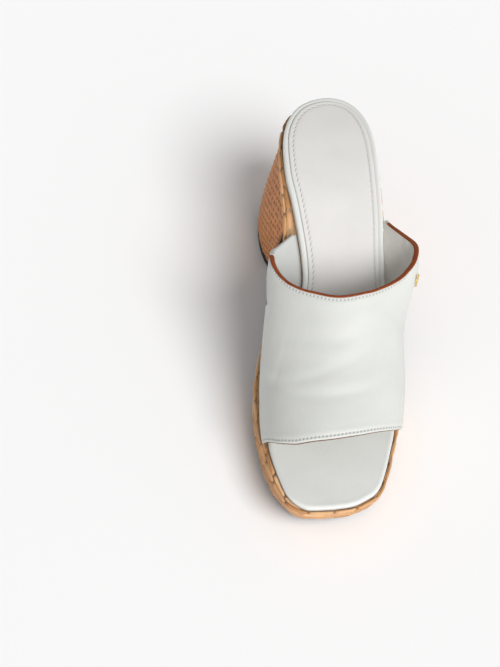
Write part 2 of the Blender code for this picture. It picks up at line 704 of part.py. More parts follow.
def build_upper():
    rows, cols = LENGTH_CELLS, ROUND_CELLS
    layers = []
    out = 0.0
    for name, thick, slot in (("vamp_lining", LINING_T, "lining_leather"),
                              ("vamp_stiffener", STIFFENER_T, "stiffener_cloth"),
                              ("vamp_outer", OUTER_T, "white_leather")):
        keep = np.ones((rows, cols), bool)
        lap = 0 if name == "vamp_outer" else 1
        keep[GORE_ROW - lap:, GORE_COL - lap:] = False
        inner = upper_grid(rows, cols, out)
        outer = upper_grid(rows, cols, out + thick)
        layers.append(shell(name, inner, outer, keep, slot, sharp=50.0))
        out += thick + GAP
    full = out - GAP
    step = 180.0 / cols
    v0 = (GORE_ROW - 1) / rows + 0.012
    d0 = (GORE_COL - 1) * step + 0.9
    gore_cols = cols - GORE_COL + 1
    inner = upper_grid(4, gore_cols, 0.0, v0, 1.0, d0, 180.0)
    outer = upper_grid(4, gore_cols, GORE_T, v0, 1.0, d0, 180.0)
    shell("medial_gore", inner, outer, np.ones((4, gore_cols), bool), "elastic_leather", sharp=50.0)

    def edge_lines(v, inside_v, d0, d1, count, inner, outer, thick):
        lines = []
        for across in (inner, outer):
            edge = upper_grid(1, count, across, v, inside_v, d0, d1)[0]
            back = upper_grid(1, count, across, v, inside_v, d0, d1)[1]
            way = edge - back
            way /= np.linalg.norm(way, axis=1)[:, None]
            lines.append((edge + way * GAP, edge + way * (GAP + thick)))
        return [lines[0][0], lines[0][1], lines[1][1], lines[1][0]]

    end = GORE_COL * step
    bar("topline_edge", edge_lines(1.0, 0.98, 5.0, end - 0.5, 34, 0.0, full, EDGE_T), "edge_paint")
    bar("front_edge", edge_lines(0.0, 0.02, 4.0, 176.0, 34, 0.0, full, EDGE_T), "edge_paint")
    bar("gore_edge", edge_lines(1.0, 0.98, end + 0.5, 173.0, 10, -0.4, GORE_T + 0.4, 1.8), "elastic_leather")
    return layers, full


def build_ornament(layers, full):
    deg, y = ORNAMENT_DEG, ORNAMENT_Y
    at = foot_point(np.array(deg), np.array(y))
    round_way = foot_point(np.array(deg + 1), np.array(y)) - foot_point(np.array(deg - 1), np.array(y))
    long_way = foot_point(np.array(deg), np.array(y + 1)) - foot_point(np.array(deg), np.array(y - 1))
    normal = np.cross(long_way, round_way)
    normal /= np.linalg.norm(normal)
    turn = Vector(normal).to_track_quat("Z", "Y")
    base = at + normal * (full + GAP)
    w, h = ORNAMENT_WIDE / 2, ORNAMENT_LONG / 2
    outline = [(w, 0), (0.35 * w, 0.35 * h), (0, h), (-0.35 * w, 0.35 * h), (-w, 0), (-0.35 * w, -0.35 * h),
               (0, -h), (0.35 * w, -0.35 * h)]
    points = [(x, y, 0.0) for x, y in outline] + [(x * 0.8, y * 0.8, ORNAMENT_T) for x, y in outline]
    faces = [tuple(reversed(range(8))), tuple(range(8, 16))]
    for i in range(8):
        j = (i + 1) % 8
        faces.append((i, j, 8 + j, 8 + i))
    solid("ornament", points, faces, "gold_metal", at=base, turn=turn)
    depth = OUTER_T + STIFFENER_T + GAP
    for name, off in (("ornament_pin_1", 1.6), ("ornament_pin_2", -1.6)):
        here = Vector(base * 1.0) + turn @ Vector((0, off, 0)) - Vector(normal) * (depth + GAP * 2)
        turned(name, [(0.5, 0), (0.5, depth + 0.3)], "gold_metal", tuple(here), turn=turn, steps=8)
        hole = hide_as_cutter(turned("cut_" + name, [(0.85, -0.6), (0.85, depth + 2)], None, tuple(here),
                                     turn=turn, steps=8))
        for layer in layers[1:]:
            cut(layer, hole)


def main():
    for obj in list(bpy.data.objects):
        bpy.data.objects.remove(obj)
    board = build_insole()
    core = build_sole()
    block, lift = build_heel()
    build_fixings(board, core, block, lift)
    layers, full = build_upper()
    build_ornament(layers, full)


main()
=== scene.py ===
import json
import math

import bmesh
import bpy
import numpy as np
from mathutils import Matrix, Vector

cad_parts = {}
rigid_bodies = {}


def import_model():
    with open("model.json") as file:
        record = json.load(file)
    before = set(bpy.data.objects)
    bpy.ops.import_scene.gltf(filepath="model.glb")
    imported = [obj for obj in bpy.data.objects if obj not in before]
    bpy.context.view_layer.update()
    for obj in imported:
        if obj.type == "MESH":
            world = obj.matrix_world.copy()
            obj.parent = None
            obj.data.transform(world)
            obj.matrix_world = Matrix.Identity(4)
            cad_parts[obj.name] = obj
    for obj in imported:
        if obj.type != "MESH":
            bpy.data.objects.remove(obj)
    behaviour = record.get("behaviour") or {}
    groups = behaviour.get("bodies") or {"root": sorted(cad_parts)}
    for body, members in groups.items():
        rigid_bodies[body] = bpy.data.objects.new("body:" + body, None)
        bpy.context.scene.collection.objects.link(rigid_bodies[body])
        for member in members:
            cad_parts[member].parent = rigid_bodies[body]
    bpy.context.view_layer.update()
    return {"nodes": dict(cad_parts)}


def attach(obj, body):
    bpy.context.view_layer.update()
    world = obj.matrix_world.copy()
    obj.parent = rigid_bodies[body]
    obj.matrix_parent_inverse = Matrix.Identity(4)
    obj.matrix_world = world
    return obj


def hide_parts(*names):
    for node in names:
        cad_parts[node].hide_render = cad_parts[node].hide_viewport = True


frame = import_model()

# ------------------------------------------------- numbers shared with the CAD source, millimetres

MM = 0.001
GAP = 0.3
ORIGIN = (2.233, 3.6)  # the frame's origin, in the drawing's x and y
COVER_T, FOAM_T, BOARD_T = 0.8, 1.2, 1.6
SOCK_INSET, SOCK_END_Y = 2.8, -42.0
SKIRT_H = COVER_T + GAP + FOAM_T + GAP + BOARD_T
LINING_T, STIFFENER_T, OUTER_T = 0.7, 0.4, 1.0
OUTER_IN = LINING_T + STIFFENER_T + 2 * GAP
OUTER_OUT = OUTER_IN + OUTER_T
GORE_T = LINING_T + GAP + STIFFENER_T
WRAP_T = 1.2
TOP_LIFT_T = 5.0
BREAST_TOP_Y = 44.0
UPPER_CLEAR = 0.6
# Cells of the upper round the foot and along it, and the cell where the elastic panel starts each way
ROUND_CELLS, GORE_COL, GORE_ROW, LENGTH_CELLS = 36, 29, 9, 12
CELL_DEG = 180.0 / ROUND_CELLS
GORE_DEG = GORE_COL * CELL_DEG
GORE_V = GORE_ROW / LENGTH_CELLS
PER_SPAN = 10  # points that a smooth outline has between two drawn ones

TOP_HEIGHTS = ((-116, 28.6), (-95, 28.2), (-65, 28.0), (-45, 29.6), (-25, 36.5), (0, 51.5),
               (20, 64.6), (40, 75.2), (60, 82.3), (80, 86.0), (100, 87.5), (120, 88.0))
SOLE_HEIGHTS = ((-116, 8.6), (-100, 5.6), (-85, 3.9), (-70, 3.3), (-38, 3.3), (-26, 6.0), (-12, 19.0),
                (2, 35.0), (20, 50.5), (43, 62.5), (60, 69.0), (80, 72.6), (100, 74.0), (120, 74.5))

# Insole edge in plan, heel centre to toe centre: (x, y)
INSOLE_MEDIAL = ((-2.5, 118.4), (-11, 116.6), (-18.8, 111.9), (-24.4, 104), (-27.6, 94), (-28.2, 83),
                 (-26.6, 66), (-23.3, 52), (-20.0, 37), (-17.2, 23), (-16.4, 10), (-21.0, -5),
                 (-28.4, -20), (-33.2, -36), (-34.7, -50), (-33.9, -66), (-31.7, -80), (-28.2, -92),
                 (-23.4, -103.3), (-17.0, -109.2), (-9.2, -110.8))
INSOLE_LATERAL = ((-2.5, 118.4), (6.5, 116.6), (14.0, 110.6), (19.4, 101), (22.4, 90), (24.2, 76),
                  (25.6, 60), (26.8, 43), (27.5, 27), (28.9, 11), (32.2, -6), (35.4, -22), (36.8, -40),
                  (34.9, -60), (31.6, -76), (28.6, -88), (25.0, -97.6), (19.4, -103.2), (9.0, -108.4),
                  (-9.2, -110.8))

# Outer edge of the woven sole side in plan, same order
SOLE_MEDIAL = ((-2.5, 119.6), (-11.6, 117.8), (-19.8, 113.0), (-26.0, 105.0), (-29.3, 95), (-30.1, 84),
               (-29.5, 68), (-28.0, 53), (-27.0, 42), (-27.6, 24), (-30.4, 8), (-34.6, -6),
               (-38.6, -21), (-40.8, -37), (-40.4, -50), (-38.2, -66), (-34.8, -82), (-30.4, -96),
               (-24.6, -106.6), (-17.6, -111.2), (-9.2, -112.4))
SOLE_LATERAL = ((-2.5, 119.6), (7.2, 117.6), (14.9, 111.4), (20.4, 101.6), (23.6, 90), (25.5, 76),
                (27.1, 60), (28.4, 43), (29.8, 27), (32.0, 11), (35.4, -6), (38.4, -22), (39.0, -40),
                (36.9, -60), (33.2, -77), (29.8, -90), (25.8, -99.6), (19.8, -105.2), (9.2, -110.2),
                (-9.2, -112.4))

# Heel base in plan, medial breast corner round the back to the lateral breast corner
HEEL_BASE = ((-30.5, 61), (-34.6, 70), (-36.9, 82), (-37.0, 94), (-34.4, 105), (-27.0, 113), (-14.0, 117.4),
             (-1.0, 118.4), (12.0, 116.8), (24.0, 111.6), (30.6, 102.6), (33.0, 91), (32.6, 79),
             (30.4, 69), (27.2, 61))

# Drop of the sole side's top edge below the insole's top: higher round the open toe, (y, drop)
SIDE_DROP = ((-116, 1.9), (-88, 1.9), (-74, SKIRT_H + GAP), (120, SKIRT_H + GAP))

# Undercut of the sole side below its top edge: (y, inset)
UNDERCUT = ((-116, 7.4), (-104, 6.2), (-90, 3.0), (-72, 1.2), (-50, 0.6), (120, 0.3))

# Foot shape under the upper: crest height and centre, and how far each side bellies out
CREST_Z = ((-92, 47.0), (-80, 53.0), (-60, 61.5), (-40, 71.5), (-17, 86.0), (0, 96.0), (20, 107.0),
           (46, 118.0))
CREST_X = ((-92, -3.0), (-60, -2.0), (-20, -1.0), (46, 0.0))
BELLY_MEDIAL = ((-92, 0.5), (-68, 1.0), (-50, 2.5), (-36, 7.5), (-20, 16.0), (-6, 27.0), (8, 35.0),
                (20, 35.0), (46, 26.0))
BELLY_LATERAL = ((-92, 1.0), (-60, 3.0), (-40, 2.0), (-20, 3.8), (-8, 11.0), (2, 20.5), (12, 29.0),
                 (22, 30.5), (34, 21.0), (46, 10.0))

# Edges of the upper round the section, angle 0 at the outer side and 180 at the inner side: (degrees, y)
TOPLINE = ((0, 45), (5, 40), (13, 33), (20, 26.8), (29, 19.5), (36, 13), (41, 7), (46, 1.5), (53, -3.8),
           (61, -8.4), (71, -12.7), (90, -16.8), (106, -14), (121, -8), (129, -2.6), (137, 5), (145, 11.5),
           (155, 17), (164, 22), (171, 27.5), (180, 36))
FRONT_EDGE = ((0, -58.5), (15, -63.5), (35, -70), (55, -75.4), (75, -80), (95, -82.8), (115, -83.4),
              (135, -81), (155, -76), (180, -70))


def smooth_level(pairs, at):
    """Smooth curve through (position, value) pairs that never overshoots them."""
    px = np.array([p[0] for p in pairs], float)
    py = np.array([p[1] for p in pairs], float)
    at = np.clip(np.asarray(at, float), px[0], px[-1])
    step = np.diff(px)
    rise = np.diff(py) / step
    slope = np.zeros(len(px))
    for i in range(1, len(px) - 1):
        if rise[i - 1] * rise[i] > 0:
            a = 2 * step[i] + step[i - 1]
            b = step[i] + 2 * step[i - 1]
            slope[i] = (a + b) / (a / rise[i - 1] + b / rise[i])
    slope[0] = rise[0]
    slope[-1] = rise[-1]
    k = np.clip(np.searchsorted(px, at, side="right") - 1, 0, len(px) - 2)
    t = (at - px[k]) / step[k]
    h00 = 2 * t**3 - 3 * t**2 + 1
    h10 = t**3 - 2 * t**2 + t
    h01 = -2 * t**3 + 3 * t**2
    h11 = t**3 - t**2
    return h00 * py[k] + h10 * step[k] * slope[k] + h01 * py[k + 1] + h11 * step[k] * slope[k + 1]


def through(points, closed, per_span=PER_SPAN):
    """Catmull-Rom curve through the points."""
    pts = np.array(points, float)
    n = len(pts)
    out = []
    spans = n if closed else n - 1
    for i in range(spans):
        if closed:
            a, b, c, d = pts[i - 1], pts[i], pts[(i + 1) % n], pts[(i + 2) % n]
        else:
            b, c = pts[i], pts[i + 1]
            a = pts[i - 1] if i else 2 * b - c
            d = pts[i + 2] if i + 2 < n else 2 * c - b
        for s in range(per_span):
            t = s / per_span
            out.append(0.5 * (2 * b + (c - a) * t + (2 * a - 5 * b + 4 * c - d) * t**2
                              + (3 * b - a - 3 * c + d) * t**3))
    if not closed:
        out.append(pts[-1])
    return np.array(out)


def even(line, count):
    """The open line resampled to count + 1 evenly spaced points."""
    seg = np.linalg.norm(np.diff(line, axis=0), axis=1)
    along = np.concatenate([[0], np.cumsum(seg)])
    want = np.linspace(0, along[-1], count + 1)
    return np.stack([np.interp(want, along, line[:, k]) for k in range(line.shape[1])], axis=1)


def inset_loop(loop, amount):
    """A closed counter-clockwise plan loop moved inwards by amount (one number or one per point)."""
    ahead = np.roll(loop, -1, axis=0) - np.roll(loop, 1, axis=0)
    ahead /= np.linalg.norm(ahead, axis=1)[:, None]
    inward = np.stack([-ahead[:, 1], ahead[:, 0]], axis=1)
    return loop + inward * np.reshape(amount, (-1, 1))


def two_sides(medial, lateral, cells, inset=0.0):
    """The two edges of a plan outline, each as cells + 1 points from heel centre to toe centre."""
    control = list(medial) + list(reversed(lateral))[1:-1]
    dense = through(control, True)
    dense = inset_loop(dense, inset(dense[:, 1]) if callable(inset) else inset)
    turn = (len(medial) - 1) * PER_SPAN
    left = dense[:turn + 1]
    right = np.concatenate([dense[turn:], dense[:1]])[::-1]
    return even(left, cells), even(right, cells)


def insole_sides(cells, inset=0.0):
    return two_sides(INSOLE_MEDIAL, INSOLE_LATERAL, cells, inset)


def sole_sides(cells, inset=0.0):
    return two_sides(SOLE_MEDIAL, SOLE_LATERAL, cells, inset)


def top_z(y):
    return smooth_level(TOP_HEIGHTS, y)


def sole_z(y):
    return smooth_level(SOLE_HEIGHTS, y)


def side_top(y):
    """Level of the sole side's top edge."""
    return top_z(y) - smooth_level(SIDE_DROP, y)


def undercut_sides(cells, inset):
    """Sole edge at its foot: the top edge moved in by the undercut and by inset."""
    return sole_sides(cells, lambda y: smooth_level(UNDERCUT, y) + inset)


def foot_point(deg, y):
    """Point on the foot shape at a section angle and a position along the foot."""
    deg = np.asarray(deg, float)
    y = np.asarray(y, float)
    t = 1 - np.abs(deg - 90) / 90
    lateral = deg < 90
    rim_m, rim_l = rim_at(y)
    base_x = np.where(lateral, rim_l + UPPER_CLEAR, rim_m - UPPER_CLEAR)
    belly = np.where(lateral, smooth_level(BELLY_LATERAL, y), -smooth_level(BELLY_MEDIAL, y))
    low = top_z(y) - SKIRT_H
    high = smooth_level(CREST_Z, y)
    mid_x = smooth_level(CREST_X, y)
    h1x = base_x + belly
    h1z = low + 0.5 * (high - low)
    h2x = mid_x + 0.74 * (base_x + 0.5 * belly - mid_x)
    s = 1 - t
    x = s**3 * base_x + 3 * s**2 * t * h1x + 3 * s * t**2 * h2x + t**3 * mid_x
    z = s**3 * low + 3 * s**2 * t * h1z + 3 * s * t**2 * high + t**3 * high
    return np.stack([x, y + 0 * x, z], axis=-1)


_left, _right = insole_sides(240)
_RIM_M = _left[np.argsort(_left[:, 1])]
_RIM_L = _right[np.argsort(_right[:, 1])]


def rim_at(y):
    return np.interp(y, _RIM_M[:, 1], _RIM_M[:, 0]), np.interp(y, _RIM_L[:, 1], _RIM_L[:, 0])


def closed_loop(sides, heights):
    """Loop from a pair of side lines; heights gives z from the points' y, or one number."""
    left, right = sides
    loop = np.concatenate([left, right[-2:0:-1]])
    z = heights(loop[:, 1]) if callable(heights) else np.full(len(loop), float(heights))
    return np.column_stack([loop[:, :2], z])


def behind(sides, limit, cells, end_cells):
    """Side lines cut across at limit: the part behind it, resampled and led in from the middle of the cut."""
    cut = []
    for line in sides:
        inside = line[:, 1] > limit
        k = len(inside) - np.argmax(inside[::-1]) - 1
        share = (limit - line[k, 1]) / (line[k + 1, 1] - line[k, 1])
        corner = line[k] + (line[k + 1] - line[k]) * share
        cut.append((corner, even(np.vstack([corner[None, :], line[inside][::-1]]), cells)))
    mid = (cut[0][0] + cut[1][0]) / 2
    return [np.vstack([np.linspace(mid, corner, end_cells + 1)[:-1], line]) for corner, line in cut]


def below(drop):
    """Level a fixed drop under the insole's top, as a function of y."""
    return lambda y: top_z(y) - drop


def heel_sides_top():
    left, right = undercut_sides(240, 0.0)
    medial = left[left[:, 1] >= BREAST_TOP_Y][::-1]
    lateral = right[right[:, 1] >= BREAST_TOP_Y]
    return np.vstack([medial, lateral[1:]])


HEEL_CELLS = 26


def heel_side(t, inset=0.0):
    """Side of the heel at a level (0 top, 1 base), inner breast corner round the back to the outer one."""
    top = even(heel_sides_top(), HEEL_CELLS)
    base = even(through(HEEL_BASE, False), HEEL_CELLS)
    bend = math.sin(t * math.pi / 2)
    x = top[:, 0] + (base[:, 0] - top[:, 0]) * bend
    y = top[:, 1] + (base[:, 1] - top[:, 1]) * t
    line = np.column_stack([x, y])
    ahead = np.gradient(line, axis=0)
    ahead /= np.linalg.norm(ahead, axis=1)[:, None]
    inward = np.column_stack([ahead[:, 1], -ahead[:, 0]])
    inward[0] = (1, 0)
    inward[-1] = (-1, 0)
    line = line + inward * inset
    z = (1 - t) * (sole_z(top[:, 1]) - GAP) + t * (TOP_LIFT_T + GAP)
    return np.column_stack([line, z])


# ---------------------------------------------------------------- mesh helpers

def dice(*keys):
    """Repeatable numbers from 0 to 1 for whole-number keys."""
    mix = 0.0
    for weight, key in zip((12.9898, 78.233, 37.719, 11.131), keys):
        mix = mix + weight * np.asarray(key, float)
    wave = np.sin(mix + 0.5) * 43758.5453
    return wave - np.floor(wave)


def ease(x, low, high):
    """0 below low, 1 above high, smooth between."""
    t = np.clip((np.asarray(x, float) - low) / (high - low), 0, 1)
    return t * t * (3 - 2 * t)


def bell(x, width):
    return np.exp(-(np.asarray(x, float) / width) ** 2)


def lengths(line):
    """Distance along an open line at each of its points."""
    seg = np.linalg.norm(np.diff(line, axis=0), axis=1)
    return np.concatenate([[0], np.cumsum(seg)])


def lattice(rows, cols, loop_rows=False, loop_cols=False):
    """Quads over a lattice of points, row by row."""
    r = np.arange(rows if loop_rows else rows - 1)[:, None]
    c = np.arange(cols if loop_cols else cols - 1)[None, :]
    r, c = np.broadcast_arrays(r, c)
    corners = ((r, c), (r, c + 1), (r + 1, c + 1), (r + 1, c))
    quads = np.stack([(a % rows) * cols + b % cols for a, b in corners], -1)
    return quads.reshape(-1, 4)


def normals_of(grid, loop_cols=False):
    """Unit normals of a lattice of points."""
    if loop_cols:
        along = np.roll(grid, -1, axis=1) - np.roll(grid, 1, axis=1)
    else:
        along = np.gradient(grid, axis=1)
    up = np.gradient(grid, axis=0)
    n = np.cross(along, up)
    return n / np.maximum(np.linalg.norm(n, axis=-1), 1e-9)[..., None]


def outward_normals(grid, loop_cols=False):
    """Unit normals of a lattice that goes round its own middle, pointing away from it."""
    normal = normals_of(grid, loop_cols)
    away = (grid - grid.mean(axis=(0, 1)))[..., :2]
    return -normal if (normal[..., :2] * away).sum() < 0 else normal


def end_faces(rows, cols):
    """The two faces that close the ends of a lattice whose rows form a loop."""
    return [[r * cols for r in range(rows)], [r * cols + cols - 1 for r in reversed(range(rows))]]


LEATHER_SHARP, PAD_SHARP, WEAVE_SHARP = 62, 70, 80  # degrees beyond which an edge is shaded sharp


def piece(name, points, faces, look, nodes=(), marks=None, uv=None, sharp=None, extra=()):
    """One shown mesh from points in the drawing's millimetres, riding on the body."""
    pts = (np.asarray(points, float).reshape(-1, 3) - (ORIGIN[0], ORIGIN[1], 0)) * MM
    mesh = bpy.data.meshes.new(name)
    rows = np.asarray(faces).tolist() + [list(f) for f in extra]
    mesh.from_pydata(pts.tolist(), [], rows)
    for key, values in (marks or {}).items():
        layer = mesh.attributes.new(key, "FLOAT_VECTOR", "POINT")
        layer.data.foreach_set("vector", np.ascontiguousarray(values, np.float32).reshape(-1))
    if uv is not None:
        layer = mesh.uv_layers.new(name="strip")
        flat = np.zeros((len(mesh.loops), 2), np.float32)
        flat[:len(uv)] = uv
        layer.data.foreach_set("uv", flat.reshape(-1))
    work = bmesh.new()
    work.from_mesh(mesh)
    bmesh.ops.recalc_face_normals(work, faces=work.faces)
    work.to_mesh(mesh)
    work.free()
    mesh.polygons.foreach_set("use_smooth", [True] * len(mesh.polygons))
    if sharp is not None:
        mesh.set_sharp_from_angle(angle=math.radians(sharp))
    mesh.materials.append(look)
    obj = bpy.data.objects.new(name, mesh)
    bpy.context.scene.collection.objects.link(obj)
    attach(obj, "root")
    if nodes:
        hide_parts(*nodes)
    return obj


def on_line(values, along, where):
    """Each column of values read at a distance along the line."""
    return np.array([np.interp(where, along, column) for column in values.T])


def capsules(name, line, ups, pitch, long, wide, lift, start):
    """A row of stitches: small rounded bars lying along a line, half sunk in the surface."""
    along = lengths(line)
    count = max(int((along[-1] - start) / pitch), 1)
    mids = start + pitch * (np.arange(count) + 0.5)
    rings, spokes = 7, 8
    points, quads, fans = [], [], []
    for k, mid in enumerate(mids):
        here = on_line(line, along, mid)
        ahead = on_line(line, along, mid + 0.4) - on_line(line, along, mid - 0.4)
        ahead /= np.linalg.norm(ahead)
        up = on_line(ups, along, mid)
        side = np.cross(ahead, up)
        side /= np.linalg.norm(side)
        up = np.cross(side, ahead)
        base = len(points)
        lean = (dice(k, 3) - 0.5) * 0.16
        half = long * 0.5 * (0.94 + 0.12 * dice(k, 7))
        for r in range(rings):
            f = -1 + 2 * (r + 0.5) / rings
            size = wide * 0.5 * math.sqrt(max(1 - abs(f) ** 2.6, 0.05))
            sink = -0.55 * wide * f * f
            mid_point = here + ahead * half * f + side * lean * f * half + up * (lift + sink)
            for s in range(spokes):
                a = 2 * math.pi * s / spokes
                points.append(mid_point + side * size * math.cos(a) + up * size * 0.8 * math.sin(a))
        for r in range(rings - 1):
            for s in range(spokes):
                n = (s + 1) % spokes
                quads.append((base + r * spokes + s, base + r * spokes + n,
                              base + (r + 1) * spokes + n, base + (r + 1) * spokes + s))
        fans.append([base + s for s in range(spokes)])
        fans.append([base + (rings - 1) * spokes + s for s in range(spokes)])
    return piece(name, points, quads, LOOKS["thread"], extra=fans)


# ---------------------------------------------------------------- materials

def node(tree, kind, **values):
    made = tree.nodes.new("ShaderNode" + kind)
    for key, value in values.items():
        setattr(made, key, value)
    return made


def wire(tree, *pairs):
    for out, into in pairs:
        tree.links.new(out, into)


def fresh(name, rough, metal=0.0, specular=0.5):
    mat = bpy.data.materials.new("look_" + name)
    mat.use_nodes = True
    tree = mat.node_tree
    shader = tree.nodes["Principled BSDF"]
    shader.inputs["Roughness"].default_value = rough
    shader.inputs["Metallic"].default_value = metal
    shader.inputs["Specular IOR Level"].default_value = specular
    return mat, tree, shader


def place_of(tree):
    return node(tree, "TexCoord").outputs["Object"]


def noise(tree, where, scale, detail=3.0, rough=0.5):
    made = node(tree, "TexNoise")
    for key, value in (("Scale", scale), ("Detail", detail), ("Roughness", rough), ("Distortion", 0.0)):
        made.inputs[key].default_value = value
    wire(tree, (where, made.inputs["Vector"]))
    return made.outputs["Fac"]


def cells(tree, where, scale):
    made = node(tree, "TexVoronoi")
    made.inputs["Scale"].default_value = scale
    wire(tree, (where, made.inputs["Vector"]))
    return made.outputs["Distance"]


def stretched(tree, where, scale):
    """The place scaled by its own factor along each axis."""
    made = node(tree, "Mapping")
    made.inputs["Scale"].default_value = scale
    wire(tree, (where, made.inputs["Vector"]))
    return made.outputs["Vector"]


def ramp(tree, value, *stops):
    """Colour ramp; each stop is (position, (r, g, b))."""
    made = node(tree, "ValToRGB")
    bar = made.color_ramp
    while len(bar.elements) < len(stops):
        bar.elements.new(0.5)
    for element, (pos, colour) in zip(bar.elements, stops):
        element.position = pos
        element.color = (*colour, 1.0)
    wire(tree, (value, made.inputs["Fac"]))
    return made.outputs["Color"]


def span(tree, value, low, high, a=0.0, b=1.0, kind="LINEAR"):
    """A value between a and b mapped to one between low and high."""
    made = node(tree, "MapRange", interpolation_type=kind)
    for key, number in (("From Min", a), ("From Max", b), ("To Min", low), ("To Max", high)):
        made.inputs[key].default_value = number
    wire(tree, (value, made.inputs["Value"]))
    return made.outputs["Result"]


def feed(tree, socket, value):
    """Set a socket to a number or a colour, or link it to another node's output."""
    if isinstance(value, (int, float)):
        socket.default_value = value
    elif isinstance(value, tuple):
        socket.default_value = (*value, 1.0)
    else:
        tree.links.new(value, socket)


def blend(tree, factor, a, b, mode="MIX"):
    made = node(tree, "Mix", data_type="RGBA", blend_type=mode)
    for key, value in ((0, factor), (6, a), (7, b)):
        feed(tree, made.inputs[key], value)
    return made.outputs[2]


def figure(tree, operation, a, b):
    made = node(tree, "Math", operation=operation)
    feed(tree, made.inputs[0], a)
    feed(tree, made.inputs[1], b)
    return made.outputs[0]


def relief(tree, shader, height, depth_mm):
    made = node(tree, "Bump")
    made.inputs["Strength"].default_value = 1.0
    made.inputs["Distance"].default_value = depth_mm * MM
    wire(tree, (height, made.inputs["Height"]), (made.outputs["Normal"], shader.inputs["Normal"]))


def mark(tree, name):
    """The parts of a point attribute: x, y and z."""
    read = node(tree, "Attribute", attribute_name=name)
    parts = node(tree, "SeparateXYZ")
    wire(tree, (read.outputs["Vector"], parts.inputs["Vector"]))
    return parts.outputs


def leather(name, colour, rough=0.46, grain_mm=0.75, depth=0.05, tint=0.03, pits_and_shade=False):
    """Smooth calf leather: shallow pebble grain with pores, cloudy tone, slight change of gloss; on request,
    painted shade darkens the stitch holes.
    """
    mat, tree, shader = fresh(name, rough, specular=0.42)
    where = place_of(tree)
    pebble = cells(tree, where, 1000 / grain_mm)
    cloud = noise(tree, where, 38.0, 4.0, 0.55)
    fine = noise(tree, where, 1600.0, 2.0)
    pale = tuple(min(c * (1 + tint), 1) for c in colour)
    dark = tuple(c * (1 - tint) for c in colour)
    tone = ramp(tree, cloud, (0.3, dark), (0.7, pale))
    crease = ramp(tree, pebble, (0.0, (1, 1, 1)), (0.75, (0.985, 0.985, 0.985)), (1.0, (0.95, 0.95, 0.945)))
    base = blend(tree, 1.0, tone, crease, "MULTIPLY")
    if pits_and_shade:
        # painted shade: the stitch holes are darkened down to a quarter of the leather's colour
        hole = mark(tree, "pit")[0]
        base = blend(tree, span(tree, hole, 0, 0.85), base, tuple(c * 0.25 for c in colour))
    wire(tree, (base, shader.inputs["Base Color"]))
    wire(tree, (span(tree, cloud, rough - 0.05, rough + 0.06, 0.3, 0.7), shader.inputs["Roughness"]))
    height = figure(tree, "ADD", figure(tree, "MULTIPLY", pebble, -0.8), figure(tree, "MULTIPLY", fine, 0.5))
    relief(tree, shader, height, depth)
    return mat


def raffia(name, tones, gap_shade_colour, fibre_scale=(0.10, 4.6), rough=0.5):
    """Flat plant-fibre strips: each float has its own tone and fine fibres run along it; painted shade
    darkens the gaps fully and the strip edges in part.
    """
    mat, tree, shader = fresh(name, rough, specular=0.45)
    uv = node(tree, "UVMap", uv_map="strip").outputs["UV"]
    lines = noise(tree, stretched(tree, uv, (*fibre_scale, 1.0)), 1.0, 4.0, 0.62)
    bands = noise(tree, stretched(tree, uv, (0.05, 0.9, 1.0)), 1.0, 2.0, 0.5)
    # the weave mark holds each float's own tone, the painted shade of the gaps and the painted shade along
    # the edges
    tone, gap_shade, edge = mark(tree, "weave")
    step = 1.0 / (len(tones) - 1)
    base = ramp(tree, tone, *[(k * step, t) for k, t in enumerate(tones)])
    base = blend(tree, 1.0, base, ramp(tree, lines, (0.28, (0.62, 0.55, 0.46)), (0.5, (0.95, 0.93, 0.9)),
                                       (0.72, (1.16, 1.17, 1.15))), "MULTIPLY")
    base = blend(tree, 1.0, base, ramp(tree, bands, (0.3, (0.84, 0.82, 0.80)), (0.7, (1.12, 1.12, 1.1))),
                 "MULTIPLY")
    # painted shade along the strip edges and round the dips, then full painted shade in the gaps
    base = blend(tree, figure(tree, "MULTIPLY", edge, 0.6), base, tuple(c * 2.2 for c in gap_shade_colour))
    base = blend(tree, gap_shade, base, gap_shade_colour)
    wire(tree, (base, shader.inputs["Base Color"]))
    wire(tree, (span(tree, lines, rough - 0.08, rough + 0.16, 0.3, 0.7), shader.inputs["Roughness"]))
    relief(tree, shader, lines, 0.12)
    return mat


def worn(name, colours, scale, rough, depth, metal=0.0, stretch=(1, 1, 1), grain=None, specular=0.5):
    """Any plain stuff: tone and height from one noise, with an optional finer grain."""
    mat, tree, shader = fresh(name, rough, metal, specular)
    where = stretched(tree, place_of(tree), stretch)
    field = noise(tree, where, scale, 5.0, 0.6)
    step = 0.5 / max(len(colours) - 1, 1)
    base = ramp(tree, field, *[(0.25 + k * step, c) for k, c in enumerate(colours)])
    height = field
    if grain:
        spots = cells(tree, where, grain)
        shade = ramp(tree, spots, (0.0, (1.12, 1.1, 1.08)), (0.8, (0.8, 0.78, 0.75)))
        base = blend(tree, 1.0, base, shade, "MULTIPLY")
        height = figure(tree, "ADD", field, figure(tree, "MULTIPLY", spots, -0.7))
    wire(tree, (base, shader.inputs["Base Color"]))
    wire(tree, (span(tree, field, max(rough - 0.07, 0.05), min(rough + 0.1, 1.0), 0.3, 0.7),
                shader.inputs["Roughness"]))
    relief(tree, shader, height, depth)
    return mat


